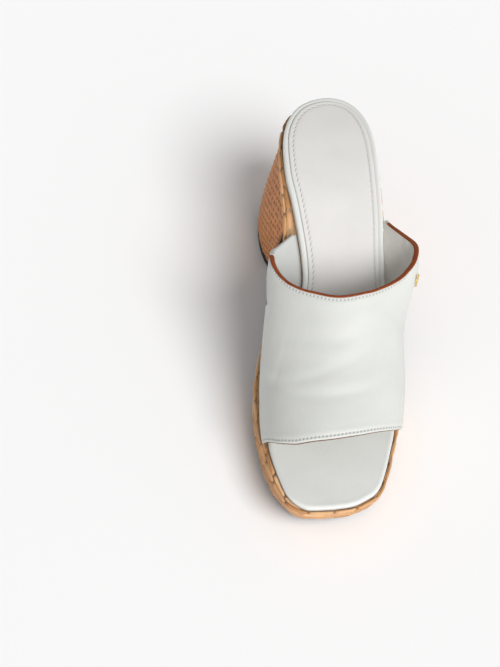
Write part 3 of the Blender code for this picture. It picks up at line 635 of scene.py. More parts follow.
def woven_cloth(name, colour, thread_mm, rough=0.9):
    """Plain-weave backing cloth from two crossed waves."""
    mat, tree, shader = fresh(name, rough, specular=0.2)
    where = place_of(tree)
    fields = []
    for axis in ("X", "Y"):
        wave = node(tree, "TexWave", bands_direction=axis)
        wave.inputs["Scale"].default_value = 1000 / thread_mm / 6.2832 * 2
        wave.inputs["Distortion"].default_value = 0.6
        wire(tree, (where, wave.inputs["Vector"]))
        fields.append(wave.outputs["Fac"])
    height = figure(tree, "MULTIPLY", fields[0], fields[1])
    cloud = noise(tree, where, 120.0, 3.0)
    mix = figure(tree, "ADD", figure(tree, "MULTIPLY", height, 0.5), figure(tree, "MULTIPLY", cloud, 0.5))
    base = ramp(tree, mix, (0.1, tuple(c * 0.72 for c in colour)), (0.8, colour))
    wire(tree, (base, shader.inputs["Base Color"]))
    relief(tree, shader, height, 0.1)
    return mat


LOOKS = {look.name.removeprefix("look_"): look for look in (
    leather("white_leather", (0.590, 0.598, 0.568), pits_and_shade=True),
    leather("cover_leather", (0.715, 0.725, 0.695), rough=0.5, depth=0.04),
    leather("sock_leather", (0.72, 0.705, 0.68), rough=0.55, grain_mm=0.6, depth=0.04, pits_and_shade=True),
    leather("elastic_leather", (0.59, 0.595, 0.575), rough=0.5, grain_mm=0.9, depth=0.06),
    leather("lining_leather", (0.74, 0.715, 0.67), rough=0.7, grain_mm=0.9, depth=0.05, tint=0.05),
    worn("edge_paint", ((0.19, 0.036, 0.006), (0.25, 0.052, 0.009), (0.30, 0.070, 0.014)), 300.0, 0.5, 0.05,
         specular=0.22),
    worn("front_edge_paint", ((0.13, 0.060, 0.030), (0.18, 0.085, 0.045), (0.23, 0.110, 0.060)), 300.0, 0.5,
         0.05, specular=0.22),
    worn("thread", ((0.62, 0.62, 0.60), (0.74, 0.74, 0.72)), 1900.0, 0.6, 0.10, stretch=(1, 1, 3)),
    raffia("sole_raffia", ((0.50, 0.24, 0.095), (0.62, 0.34, 0.155), (0.68, 0.38, 0.20), (0.58, 0.31, 0.12),
                           (0.80, 0.52, 0.30)), (0.085, 0.028, 0.006)),
    raffia("heel_raffia", ((0.58, 0.225, 0.078), (0.64, 0.265, 0.095), (0.67, 0.29, 0.11),
                           (0.61, 0.26, 0.085)), (0.115, 0.030, 0.005), fibre_scale=(0.16, 5.0), rough=0.55),
    worn("sole_rubber", ((0.012, 0.012, 0.012), (0.022, 0.021, 0.020), (0.034, 0.032, 0.030)), 260.0, 0.72,
         0.12, grain=1600.0, specular=0.35),
    worn("gold_metal", ((0.55, 0.36, 0.10), (0.80, 0.56, 0.21), (0.92, 0.70, 0.33)), 700.0, 0.22, 0.03,
         metal=1.0),
    worn("shank_steel", ((0.40, 0.40, 0.42), (0.58, 0.58, 0.60)), 60.0, 0.34, 0.04, metal=1.0,
         stretch=(14, 1, 1)),
    worn("fixing_steel", ((0.42, 0.42, 0.44), (0.62, 0.62, 0.64)), 500.0, 0.36, 0.04, metal=1.0),
    worn("foam", ((0.60, 0.53, 0.30), (0.78, 0.72, 0.48)), 300.0, 0.92, 0.2, grain=900.0),
    worn("fibreboard", ((0.30, 0.21, 0.13), (0.46, 0.34, 0.22)), 500.0, 0.9, 0.12, stretch=(1, 4, 4)),
    worn("cork_core", ((0.30, 0.17, 0.08), (0.48, 0.30, 0.16), (0.56, 0.37, 0.21)), 200.0, 0.9, 0.25,
         grain=420.0),
    worn("heel_plastic", ((0.60, 0.56, 0.48), (0.70, 0.66, 0.58)), 90.0, 0.5, 0.05, grain=1200.0),
    woven_cloth("stiffener_cloth", (0.74, 0.72, 0.66), 0.5),
)}


def dress(name, look):
    """Gives a CAD node that stays in view its procedural material."""
    obj = frame["nodes"][name]
    obj.data.materials.clear()
    obj.data.materials.append(LOOKS[look])
    obj.data.polygons.foreach_set("material_index", [0] * len(obj.data.polygons))


# ---------------------------------------------------------------- the upper's surface

def at_upper(deg, v):
    deg = np.clip(deg, 0, 180)
    y = smooth_level(FRONT_EDGE, deg) * (1 - v) + smooth_level(TOPLINE, deg) * v
    return foot_point(deg, y)


def upper_points(deg, v, out):
    """Points and normals out from the foot, at section angle deg and share v from front edge to topline."""
    deg, v, out = np.broadcast_arrays(np.asarray(deg, float), np.asarray(v, float), np.asarray(out, float))
    here = at_upper(deg, v)
    side_deg = 0.5
    round_way = at_upper(np.minimum(deg + side_deg, 180), v) - at_upper(np.maximum(deg - side_deg, 0), v)
    long_way = at_upper(deg, v + 0.01) - at_upper(deg, v - 0.01)
    normal = np.cross(long_way, round_way)
    normal /= np.linalg.norm(normal, axis=-1)[..., None]
    up = here + normal * out[..., None]
    wall = np.cross(normal, long_way)
    wall /= np.linalg.norm(wall, axis=-1)[..., None]
    wall = np.where(wall[..., 2:] < 0, -wall, wall)
    # slide along the wall: both ends, and any point lower than that, stop level with the insole's underside
    ends = (deg <= 0.01) | (deg >= 179.99)
    for _ in range(4):
        y = up[..., 1]
        short = top_z(y) - SKIRT_H - up[..., 2]
        rate = wall[..., 2] - (top_z(y + 0.5) - top_z(y - 0.5)) * wall[..., 1]
        up = up + wall * (np.where(ends | (short > 0), short, 0) / np.maximum(rate, 0.3))[..., None]
    return up, normal


_DEG = np.linspace(0, 180, 181)
_STEPS = np.diff(at_upper(_DEG[None, :], np.linspace(0, 1, 41)[:, None]), axis=0)
_MERIDIAN = np.linalg.norm(_STEPS, axis=-1).sum(0)


def meridian(deg):
    """Length of the upper from front edge to topline at this angle, in millimetres."""
    return np.interp(deg, _DEG, _MERIDIAN)


def rows_of(deg, near, middle, far):
    """Shares v of rows: distances from the front edge, middle shares, distances from the topline."""
    long = meridian(deg)
    first = np.array(near)[:, None] / long
    last = 1 - np.array(far)[:, None] / long
    mid = first[-1] + (last[0] - first[-1]) * np.array(middle)[:, None]
    return np.vstack([first, mid, last])


STITCH_IN = 1.75  # front row of stitches from the front edge
STITCH_TOP = 1.15  # top row from the topline
PITCH = 2.05

# Folds across the instep: middle and half width in degrees, y of the middle, bend of the line, width, height
FOLDS = ((114, 40, -52.0, 12.0, 4.4, 0.27), (97, 40, -60.5, 11.0, 4.4, 0.27), (95, 24, -34.2, 5.0, 5.0, 0.18),
         (100, 20, -44.5, 5.0, 5.0, 0.17), (62, 16, -24.0, -4.0, 5.0, 0.15), (140, 12, -48.0, 8.0, 5.5, 0.20))


def crease(deg, y, mid_deg, wide_deg, mid_y, smile, wide, height):
    """A soft fold across the instep: a smile-shaped ridge with a valley in front of it."""
    line = mid_y + smile * ((deg - mid_deg) / wide_deg) ** 2
    off = y - line
    fade = bell(deg - mid_deg, wide_deg)
    return height * fade * (bell(off - wide * 0.9, wide) - 0.85 * bell(off + wide * 0.35, wide * 0.62))


def folds(deg, y):
    """How far the leather stands out or dips where the foot has bent it, in millimetres."""
    slow = np.sin(deg * 0.055 + y * 0.05) * np.sin(y * 0.083 + 1.3 + deg * 0.02)
    return sum(crease(deg, y, *fold) for fold in FOLDS) + 0.16 * slow


def two_skins(inner, outer, keep):
    """Closed sheet between two lattices, over the kept cells: points, faces and which points were used."""
    rows, cols = inner.shape[:2]
    quads = lattice(rows, cols)[keep.reshape(-1)]
    size = rows * cols
    faces = [quads, quads[:, ::-1] + size]
    ends = np.concatenate([quads[:, [0, 1]], quads[:, [1, 2]], quads[:, [2, 3]], quads[:, [3, 0]]])
    both = np.sort(ends, axis=1)
    _, index, count = np.unique(both, axis=0, return_inverse=True, return_counts=True)
    rim = ends[count[index.reshape(-1)] == 1]
    faces.append(np.column_stack([rim[:, 1], rim[:, 0], rim[:, 0] + size, rim[:, 1] + size]))
    faces = np.concatenate(faces)
    points = np.concatenate([inner.reshape(-1, 3), outer.reshape(-1, 3)])
    used = np.unique(faces)
    new = np.zeros(len(points), int)
    new[used] = np.arange(len(used))
    return points[used], new[faces], used


def gore_cells(deg, v, lap):
    """True where the elastic, not the leather, fills the lattice's cell; lap widens it."""
    mid_deg = (deg[1:, 1:] + deg[:-1, :-1]) / 2
    mid_v = (v[1:, 1:] + v[:-1, :-1]) / 2
    return (mid_v > (GORE_ROW - lap) / LENGTH_CELLS) & (mid_deg > (GORE_COL - lap) * CELL_DEG)


def snap(values, target):
    """The nearest of the values moved onto target."""
    values = np.array(values)
    values[np.argmin(np.abs(values - target))] = target
    return values


def build_upper():
    columns = snap(np.concatenate([[0, 0.35], np.linspace(0.9, 179.1, 380), [179.65, 180]]), GORE_DEG)
    cols = len(columns)
    near = [0.0, 0.35, 0.8, 1.3, 1.7, 2.0, 2.3, 2.6, 2.9, 3.4, 4.2, 5.4]
    far = [4.2, 3.2, 2.4, 1.9, 1.5, 1.15, 0.8, 0.45, 0.15, 0.0]
    v = rows_of(columns, near, np.linspace(0, 1, 74)[1:-1], far)
    v[np.argmin(np.abs(v[:, cols // 2] - GORE_V))] = GORE_V
    v = np.sort(v, axis=0)
    deg = np.broadcast_to(columns, v.shape)
    long = meridian(deg)
    front, back = v * long, (1 - v) * long
    base, _ = upper_points(deg, v, 0.0)
    y = base[..., 1]
    inner, normal = upper_points(deg, v, OUTER_IN)
    outer, _ = upper_points(deg, v, OUTER_OUT)
    foot = ease(np.minimum(deg, 180 - deg), 2, 14)
    bend = folds(deg, y)
    lift = bend * foot * ease(front, 3, 12) * ease(back, 2, 9)
    row_front = lengths(upper_points(columns, STITCH_IN / meridian(columns), OUTER_OUT)[0])
    row_back = lengths(upper_points(columns, 1 - STITCH_TOP / meridian(columns), OUTER_OUT)[0])
    sewn_top = 1 - ease(deg, GORE_DEG - 2, GORE_DEG)
    seam = -0.20 * bell(front - STITCH_IN, 0.75) - 0.16 * bell(back - STITCH_TOP, 0.6) * sewn_top
    # needle holes of both stitch rows: each gets a small dent and a mark that paints shade into it
    pits_and_shade = np.zeros(v.shape)
    for cross, run, share in ((front - STITCH_IN, row_front, 1.0), (back - STITCH_TOP, row_back, sewn_top)):
        ends = (run / PITCH + 0.5) % 1 - 0.5
        pits_and_shade = np.maximum(pits_and_shade, share * np.exp(-(cross / 0.42) ** 2 - (ends[None, :] * PITCH / 0.38) ** 2))
    swell = 0.30 * bell(front - 1.0, 0.9) + 0.12 * bell(front - 4.0, 1.4)
    lift = lift + seam + swell * foot - 0.28 * pits_and_shade
    lift = lift - 0.55 * (1 - ease(front, 0, 0.9)) - 0.30 * (1 - ease(back, 0, 0.5))
    outer = outer + normal * lift[..., None]
    inner = inner + normal * (np.maximum(bend, 0) * 0.3 * foot)[..., None]
    points, faces, used = two_skins(inner, outer, ~gore_cells(deg, v, 0))
    marks = np.zeros((2 * v.size, 3))
    marks[v.size:, 0] = pits_and_shade.reshape(-1)
    piece("upper_leather", points, faces, LOOKS["white_leather"], ["vamp_outer"],
          marks={"pit": marks[used]}, sharp=LEATHER_SHARP)

    # thread of the two rows of stitches
    fine = np.linspace(2.5, 177.5, 700)
    for name, shares, row, stop in (
            ("front_stitches", STITCH_IN / meridian(fine), row_front, 177.5),
            ("topline_stitches", 1 - STITCH_TOP / meridian(fine), row_back, GORE_DEG - 1.5)):
        chosen = fine < stop
        line, ups = upper_points(fine[chosen], shares[chosen], OUTER_OUT)
        off = float(np.interp(fine[chosen][0], columns, row))
        first = math.ceil(off / PITCH) * PITCH - off
        capsules(name, line, ups, PITCH, long=1.42, wide=0.42, lift=-0.10, start=first)


def build_lining():
    columns = snap(np.linspace(0, 180, 150), GORE_DEG - CELL_DEG)
    v = rows_of(columns, [0.0, 0.5, 1.2, 2.2], np.linspace(0, 1, 44)[1:-1], [2.0, 1.0, 0.4, 0.0])
    deg = np.broadcast_to(columns, v.shape)
    base, _ = upper_points(deg, v, 0.0)
    y = base[..., 1]
    inner, normal = upper_points(deg, v, 0.0)
    outer, _ = upper_points(deg, v, LINING_T)
    # one diagonal fold on the outer side, and the gentle slack of a glued lining
    slant = (y - 26.0) * 0.62 - (deg - 17.0) * 0.78
    side = ease(deg, 2, 9) * (1 - ease(deg, 30, 42))
    pull = bell(slant, 2.2) * side * ease(y, -8, 6)
    slack = 0.12 * np.sin(deg * 0.16 + y * 0.21) * np.sin(y * 0.13 + deg * 0.05)
    dent = 0.35 * pull - 0.22 * bell(slant - 3.2, 1.6) * side + slack
    dent = dent * ease(np.minimum(deg, 180 - deg), 1, 8)
    inner = inner - normal * np.clip(dent, -0.2, 0.5)[..., None]
    points, faces, _ = two_skins(inner, outer, ~gore_cells(deg, v, 1))
    piece("upper_lining", points, faces, LOOKS["lining_leather"], ["vamp_lining"],
          sharp=LEATHER_SHARP)


def edge_strip(name, v, v_in, d0, d1, count, low, high, thick, crown, look, node_name, wobble):
    """Painted or bound edge: a bar along the upper's edge with a rounded crown, from out low to out high."""
    deg = np.linspace(d0, d1, count)
    across = np.linspace(0, 1, 9)
    lines = []
    for k, share in enumerate(across):
        out = low + (high - low) * share
        edge, _ = upper_points(deg, np.full(count, v), out)
        back, _ = upper_points(deg, np.full(count, v_in), out)
        way = edge - back
        way /= np.linalg.norm(way, axis=1)[:, None]
        bump = crown * math.sqrt(max(1 - (2 * share - 1) ** 2, 0.0))
        shake = wobble * np.sin(deg * 1.9 + k) * np.sin(deg * 0.71 + 2 * k)
        lines.append(edge + way * (GAP * 0.5 + thick + bump + shake)[:, None])
        if k in (0, len(across) - 1):
            foot = edge + way * 0.05
            lines.insert(len(lines) - 1 if k == 0 else len(lines), foot)
    grid = np.stack(lines)
    rows, cols = grid.shape[:2]
    faces = lattice(rows, cols, loop_rows=True)
    piece(name, grid, faces, LOOKS[look], [node_name], extra=end_faces(rows, cols))


def build_edges():
    edge_strip("topline_paint", 1.0, 0.98, 4.0, GORE_DEG - 0.4, 330, low=-0.05, high=OUTER_OUT + 0.02,
               thick=0.35, crown=0.85, look="edge_paint", node_name="topline_edge",
               wobble=0.025)
    edge_strip("front_paint", 0.0, 0.02, 4.0, 176.0, 300, low=-0.05, high=OUTER_IN + 0.25,
               thick=0.08, crown=0.22, look="front_edge_paint", node_name="front_edge",
               wobble=0.04)
    edge_strip("gore_binding", 1.0, 0.98, GORE_DEG + 0.4, 177.8, 120, low=-0.55, high=GORE_T + 0.55,
               thick=0.45, crown=0.95, look="elastic_leather",
               node_name="gore_edge", wobble=0.05)


def build_gore():
    columns = np.linspace(GORE_DEG - CELL_DEG + 0.9, 180, 70)
    v = np.linspace((GORE_ROW - 1) / LENGTH_CELLS + 0.012, 1.0, 64)[:, None] + 0 * columns[None, :]
    deg = np.broadcast_to(columns, v.shape)
    inner, normal = upper_points(deg, v, 0.0)
    outer, _ = upper_points(deg, v, GORE_T)
    back = (1 - v) * meridian(deg)
    tuck = 0.25 * bell(back - 2.6, 1.0) * ease(deg, 144, 150) * (1 - ease(deg, 166, 172))
    rib = 0.07 * np.sin(2 * math.pi * deg / 1.1) * ease(180 - deg, 1, 6)
    soft = 0.18 * np.sin(deg * 0.33 + 1.0) * np.sin(back * 0.24)
    foot = ease(180 - deg, 1, 6)
    inner = inner + normal * np.clip((tuck + soft * 0.5) * foot, -0.12, 0.3)[..., None]
    beyond = np.minimum((deg - GORE_DEG) / 180 * math.pi * 45, (v - GORE_V) * meridian(deg))
    swell = 0.95 * ease(beyond, 0.5, 3.2) * ease(back, 0, 2.5) * foot
    outer = outer + normal * (np.clip(rib + 0.05, 0, 0.2) + swell)[..., None]
    points, faces, _ = two_skins(inner, outer, np.ones((v.shape[0] - 1, v.shape[1] - 1), bool))
    piece("gore_elastic", points, faces, LOOKS["elastic_leather"], ["medial_gore"],
          sharp=LEATHER_SHARP)


# ---------------------------------------------------------------- insole

FULL_CROWN = 40.0  # width of a row above which the pad has its full camber


def filled(base, loop, across, height):
    """Rows that close a heel-to-toe loop: new points, and rows of point numbers or ("new", place) entries."""
    n = len(loop)
    half = n // 2
    points, rows = [], []
    for i in range(half + 1):
        j = (n - i) % n
        if i in (0, half):
            rows.append([base + i])
            continue
        row = [base + i]
        for c in range(1, across):
            f = c / across
            p = loop[i] + (loop[j] - loop[i]) * f
            row.append(("new", len(points)))
            flat = height(p[1], 0.0)
            share = min(1.0, float(np.linalg.norm(loop[i] - loop[j])) / FULL_CROWN) ** 2
            points.append([p[0], p[1], flat + (height(p[1], f) - flat) * share])
        row.append(base + j)
        rows.append(row)
    return points, rows


def cushion(name, loops, floor, top, across, look, nodes, marks=None, sharp=None):
    """Closed pad: side loops from low to high, both ends filled across."""
    n = len(loops[0])
    points = [p for loop in loops for p in loop]
    quads = lattice(len(loops), n, loop_cols=True).tolist()
    for which, height in ((0, floor), (len(loops) - 1, top)):
        fresh_points, rows = filled(which * n, loops[which], across, height)
        start = len(points)
        points.extend(fresh_points)
        rows = [[start + q[1] if isinstance(q, tuple) else q for q in row] for row in rows]
        for a, b in zip(rows, rows[1:]):
            if len(a) == 1:
                quads.extend([a[0], b[c], b[c + 1]] for c in range(len(b) - 1))
            elif len(b) == 1:
                quads.extend([a[c], b[0], a[c + 1]] for c in range(len(a) - 1))
            else:
                quads.extend([a[c], b[c], b[c + 1], a[c + 1]] for c in range(len(a) - 1))
    quads_only = [q for q in quads if len(q) == 4]
    rest = [q for q in quads if len(q) == 3]
    full = {}
    for key, values in (marks or {}).items():
        full[key] = np.zeros((len(points), 3))
        full[key][:len(values)] = values
    return piece(name, points, quads_only, look, nodes, marks=full, extra=rest, sharp=sharp)


RIM_RISE = 0.62  # height of the rolled rim round the sock
TOE_ROLL = 2.2  # width of the soft shoulder at the toe


def rim_height(inset, y):
    """Height of the cover over its nominal top: a rolled rim round the sock, a soft shoulder at the toe."""
    across = min(inset / SOCK_INSET, 1.0)
    roll = math.sin(across * math.pi) ** 0.8 if across < 0.5 else 0.4 + 0.6 * math.sin(across * math.pi)
    bead = RIM_RISE * roll if inset < SOCK_INSET + 0.05 else 0.0
    soft = -0.9 * max(1 - inset / TOE_ROLL, 0.0) ** 2.2 + 0.25 * float(ease(inset, 2, 9))
    share = ease(y, -62, -46)
    return soft * (1 - share) + bead * share


def build_insole():
    n = 300
    outer = insole_sides(n)
    tucked = insole_sides(n, COVER_T)
    loops = [closed_loop(tucked, below(COVER_T)), closed_loop(tucked, below(SKIRT_H))]
    loops += [closed_loop(outer, below(drop)) for drop in (SKIRT_H, SKIRT_H * 0.75, 1.9)]
    insets = (0.10, 0.3, 0.6, 0.95, 1.3, 1.65, 2.0, 2.3, 2.55, 2.8, 3.1, 3.6, 4.6, 6.2, 8.2)
    for inset in insets:
        loop = closed_loop(insole_sides(n, inset), below(0.0))
        loop[:, 2] += rim_height(inset, loop[:, 1])
        loops.append(loop)

    def crown(y, f):
        return top_z(y) + rim_height(insets[-1], y) + 0.35 * math.sin(math.pi * f) * float(ease(-y, 50, 66))

    pad = cushion("insole_pad", loops, lambda y, f: top_z(y) - COVER_T, crown, 16, LOOKS["cover_leather"],
                  ["insole_cover"], sharp=PAD_SHARP)


SOCK_PITCH = 3.1
SOCK_STITCH = 2.6  # the sock's stitches from its edge


def sock_outline(inset, side_cells, end_cells):
    sides = insole_sides(420, SOCK_INSET + inset)
    return behind(sides, SOCK_END_Y + inset, side_cells, end_cells)


def build_sock():
    side_cells, end_cells = 330, 12
    low = GAP + 0.15
    loops, marks = [], []
    profile = ((0.35, 0.0), (0.12, 0.10), (0.10, 0.30), (0.22, 0.50), (0.50, 0.62), (0.9, 0.68),
               (1.5, 0.70), (1.9, 0.70), (2.15, 0.68), (2.35, 0.66), (SOCK_STITCH, 0.64), (2.85, 0.66),
               (3.05, 0.68), (3.3, 0.70), (4.2, 0.74), (5.6, 0.78), (7.5, 0.80))
    stitched = None
    for inset, rise in profile:
        loop = closed_loop(sock_outline(inset, side_cells, end_cells), top_z)
        pit = np.zeros(len(loop))
        # needle holes of the stitch row: a small dent and a mark that paints shade into each
        if abs(inset - SOCK_STITCH) < 0.8:
            run = lengths(loop)
            ends = (run / SOCK_PITCH + 0.5) % 1 - 0.5
            pit = np.exp(-(ends * SOCK_PITCH / 0.62) ** 2) * bell(inset - SOCK_STITCH, 0.46)
        loop[:, 2] += low + rise - 0.30 * pit
        loops.append(loop)
        marks.append(np.column_stack([pit, 0 * pit, 0 * pit]))
        if inset == SOCK_STITCH:
            stitched = loop
    cushion("sock", loops, lambda y, f: top_z(y) + low,
            lambda y, f: top_z(y) + low + 0.80 + 0.15 * math.sin(math.pi * f), 14, LOOKS["sock_leather"],
            ["sock_lining"], marks={"pit": np.vstack(marks)}, sharp=PAD_SHARP)
    line = stitched[end_cells:len(stitched) - end_cells].copy()
    line[:, 2] = top_z(line[:, 1]) + low + 0.64
    slope = (top_z(line[:, 1] + 1) - top_z(line[:, 1] - 1)) / 2
    ups = np.column_stack([0 * slope, -slope, 1 + 0 * slope])
    ups /= np.linalg.norm(ups, axis=1)[:, None]
    off = lengths(stitched)[end_cells]
    first = math.ceil(off / SOCK_PITCH) * SOCK_PITCH - off
    capsules("sock_stitches", line, ups, SOCK_PITCH, long=1.9, wide=0.40, lift=-0.04,
             start=first)


# ---------------------------------------------------------------- woven sole side and heel

STRIP_H = 4.35  # height of one woven strip of the sole side
FLOAT_LONG = 13.2  # length of one float of a strip
HEEL_ROW = 3.15  # height of one row of the heel's weave
HEEL_DIP = 7.0  # distance between two dips of a row


def strips(s, t, whole):
    """Relief, tone and painted shade of flat strips (shade in the gaps and along the edges); s runs round the
    sole and t down from the top.
    """
    row = np.floor(t / STRIP_H)
    c = t / STRIP_H - row
    count = round(whole / FLOAT_LONG)
    long = whole / count
    place = s / long + 0.5 * (row % 2) + 0.23 * dice(row, 5)
    cell = np.floor(place)

    def shift(k):
        return 0.26 * (dice(row, k % count, 2) - 0.5)

    x = place - cell
    before = x < shift(cell)
    after = x > 1 + shift(cell + 1)
    cell = cell - before + after
    x = place - cell
    near = np.minimum(x - shift(cell), 1 + shift(cell + 1) - x) * long
    narrow = np.abs(2 * c - 1) / (0.76 + 0.24 * ease(near, 0.0, 3.8))
    flat = 1 - np.clip(narrow, 0, 1) ** 3.0
    end = ease(near, 0.0, 2.6)
    ripple = 0.05 * np.sin(s * 0.9 + row * 2.1) * np.sin(t * 2.3 + cell)
    lift = -0.55 + 0.98 * flat * (0.30 + 0.70 * end) + ripple
    notch = bell(near, 0.50) * ease(c, 0.04, 0.2) * (1 - ease(c, 0.8, 0.96))
    beside = ease(narrow, 0.99, 1.16)
    lift = lift - 0.30 * notch
    # painted shade along each strip's edges and at the float ends where it dips under
    edge = 0.55 * bell(1 - narrow, 0.09) + 0.35 * bell(near, 1.1)
    tone = dice(row, cell % count, 9)
    # painted shade in the gaps: the notches at the float ends and the space beside a strip
    return lift, tone, np.maximum(notch, 0.8 * beside), np.clip(edge, 0, 1)


def dots(s, t, whole):
    """Relief, tone and painted shade of the close weave on the heel: pillows with a staggered grid of dips,
    shade in the dips and round them.
    """
    count = round(whole / HEEL_DIP)
    pitch = whole / count
    row = np.floor(t / HEEL_ROW)
    c = t / HEEL_ROW - row
    u = s / pitch + 0.5 * (row % 2) + 0.10 * (dice(row, 4) - 0.5)
    cell = np.floor(u + 0.5)
    jog = 0.10 * (dice(row, cell, 6) - 0.5)
    dx = (u - cell - jog) * pitch
    dy = (c - 0.5 + 0.12 * (dice(row, cell, 8) - 0.5)) * HEEL_ROW
    q = (dx / 0.92) ** 2 + (dy / 1.28) ** 2
    hole = np.exp(-q ** 1.3)
    net = np.cos(2 * np.pi * s / pitch) * np.cos(np.pi * (t / HEEL_ROW - 0.5))
    strand = 1 - np.abs(2 * c - 1) ** 2.6
    lift = -0.22 + 0.20 * strand - 0.14 * net - 0.60 * hole + 0.18 * bell(np.abs(dx) - pitch / 2, 1.9)
    # painted shade along the row boundaries and in a halo round each dip
    edge = 0.30 * np.maximum(bell(c, 0.06), bell(1 - c, 0.06)) * (1 - 0.7 * bell(np.abs(dx) - pitch / 2, 1.2))
    edge = np.maximum(edge, 0.75 * np.exp(-q * 0.42))
    tone = 0.65 * dice(row, cell, 3) + 0.35 * dice(row, 12)
    # the dips themselves carry full painted shade
    return lift, tone, np.clip(hole * 0.92, 0, 1), np.clip(edge, 0, 1)


def strip_uv(s, t, closed, whole):
    """Texture place of each quad's corners, in millimetres, unwrapped at the seam."""
    rows, cols = s.shape
    r = np.arange(rows - 1)[:, None]
    c = np.arange(cols if closed else cols - 1)[None, :]
    r, c = np.broadcast_arrays(r, c)
    uv = []
    for a, b in ((r, c), (r, c + 1), (r + 1, c + 1), (r + 1, c)):
        u = s[a, b % cols] + np.where(b >= cols, whole, 0)
        uv.append(np.stack([u, t[a, b % cols]], -1))
    return np.stack(uv, -2).reshape(-1, 2)


def folded_path(corners, t, soft):
    """Points at distance t along each column's polyline through the corner loops, corners rounded."""
    seg = np.linalg.norm(np.diff(corners, axis=0), axis=2)
    ends = np.vstack([np.zeros(seg.shape[1]), np.cumsum(seg, axis=0)])

    def at(where):
        where = np.clip(where, 0, ends[-1][None, :])
        out = np.zeros(where.shape + (3,))
        for k in range(len(seg)):
            inside = (where >= ends[k]) & ((where < ends[k + 1]) | (k == len(seg) - 1))
            f = (where - ends[k]) / np.maximum(seg[k], 1e-6)
            spot = corners[k][None] + (corners[k + 1] - corners[k])[None] * f[..., None]
            out = np.where(inside[..., None], spot, out)
        return out

    total, weight = 0.0, 0.0
    for off in np.linspace(-1.6, 1.6, 9):
        share = math.exp(-(off / 0.9) ** 2)
        total = total + at(t + off * soft) * share
        weight += share
    return total / weight


SHELF_STRIP = 1.1  # how far the topmost wall strip reaches in over the edge
SHELF_OUT = 0.35  # how far the inner line of that edge stands out from the insole
UV_LEAD = 40.0  # keeps the strips' texture place above zero


def build_sole_wrap():
    n = 520
    shelf = closed_loop(insole_sides(n, -SHELF_OUT), lambda y: side_top(y) - 0.1)
    top = closed_loop(sole_sides(n), side_top)
    high = closed_loop(sole_sides(n), below(SKIRT_H + GAP))
    high[:, 2] -= 0.05
    foot = closed_loop(undercut_sides(n, 0.0), sole_z)
    cols = len(top)
    corners = np.stack([shelf, top, high, foot])
    around = lengths(np.vstack([top, top[:1]]))
    whole, s = around[-1], around[:-1]
    seg = np.linalg.norm(np.diff(corners, axis=0), axis=2)
    lead = seg[0]
    deep = seg.sum(axis=0)
    start = lead - SHELF_STRIP
    upper = start[None, :] * np.linspace(0, 1, 10)[:-1, None]
    fixed = start[None, :] + np.arange(0, 13.1, 0.435)[:, None]
    rest = fixed[-1] + (deep - fixed[-1])[None, :] * np.linspace(0, 1, 31)[1:, None]
    t = np.vstack([upper, fixed, rest])
    base = folded_path(corners, t, np.clip(ease(t, 0, 1.5) * ease(deep - t, 0, 1.5), 0, 1))
    normal = outward_normals(base, True)
    ss = np.broadcast_to(s, t.shape)
    tt = t - start
    lift, tone, gap_shade, edge = strips(ss, tt, whole)
    y = base[..., 1]
    under_upper = ease(y, -80, -70) * (1 - ease(y, 36, 48)) * (1 - ease(t - lead, -1.6, 0.4))
    lift = lift * (1 - 0.8 * under_upper) - 0.25 * under_upper
    lift = lift * ease(deep - t, 0, 0.9) - 0.3 * (1 - ease(t, 0, 0.8))
    # painted shade along the fold where the wrap turns in over the insole's edge
    edge = np.maximum(edge, 0.9 * (1 - ease(t, 0.0, 0.7)))
    outer = base + normal * (lift + 0.10)[..., None]
    outer[..., 0] -= 0.9 * ease(outer[..., 1], -5, 25) * ease(outer[..., 0], 8, 20)
    inner_low = closed_loop(undercut_sides(n, WRAP_T), sole_z)
    inner_high = closed_loop(sole_sides(n, WRAP_T), below(SKIRT_H + GAP + 0.6))
    shelf_low = closed_loop(insole_sides(n, -SHELF_OUT), lambda y: side_top(y) - 0.7)
    grid = np.concatenate([outer, inner_low[None], inner_high[None], shelf_low[None]])
    rows = len(grid)
    faces = lattice(rows, cols, loop_rows=True, loop_cols=True)
    marks = np.zeros((rows, cols, 3))
    marks[:len(outer)] = np.stack([tone, gap_shade, edge], -1)
    # the inner skin carries painted shade
    marks[len(outer):, :, 1] = 0.6
    uv = strip_uv(ss, tt + UV_LEAD, True, whole)
    piece("sole_weave", grid, faces, LOOKS["sole_raffia"], ["sole_wrap"],
          marks={"weave": marks}, uv=uv, sharp=WEAVE_SHARP)


def smooth_line(line, count):
    """A drawn line resampled finely along a smooth curve through its points."""
    return even(through(line, False, 16), count)


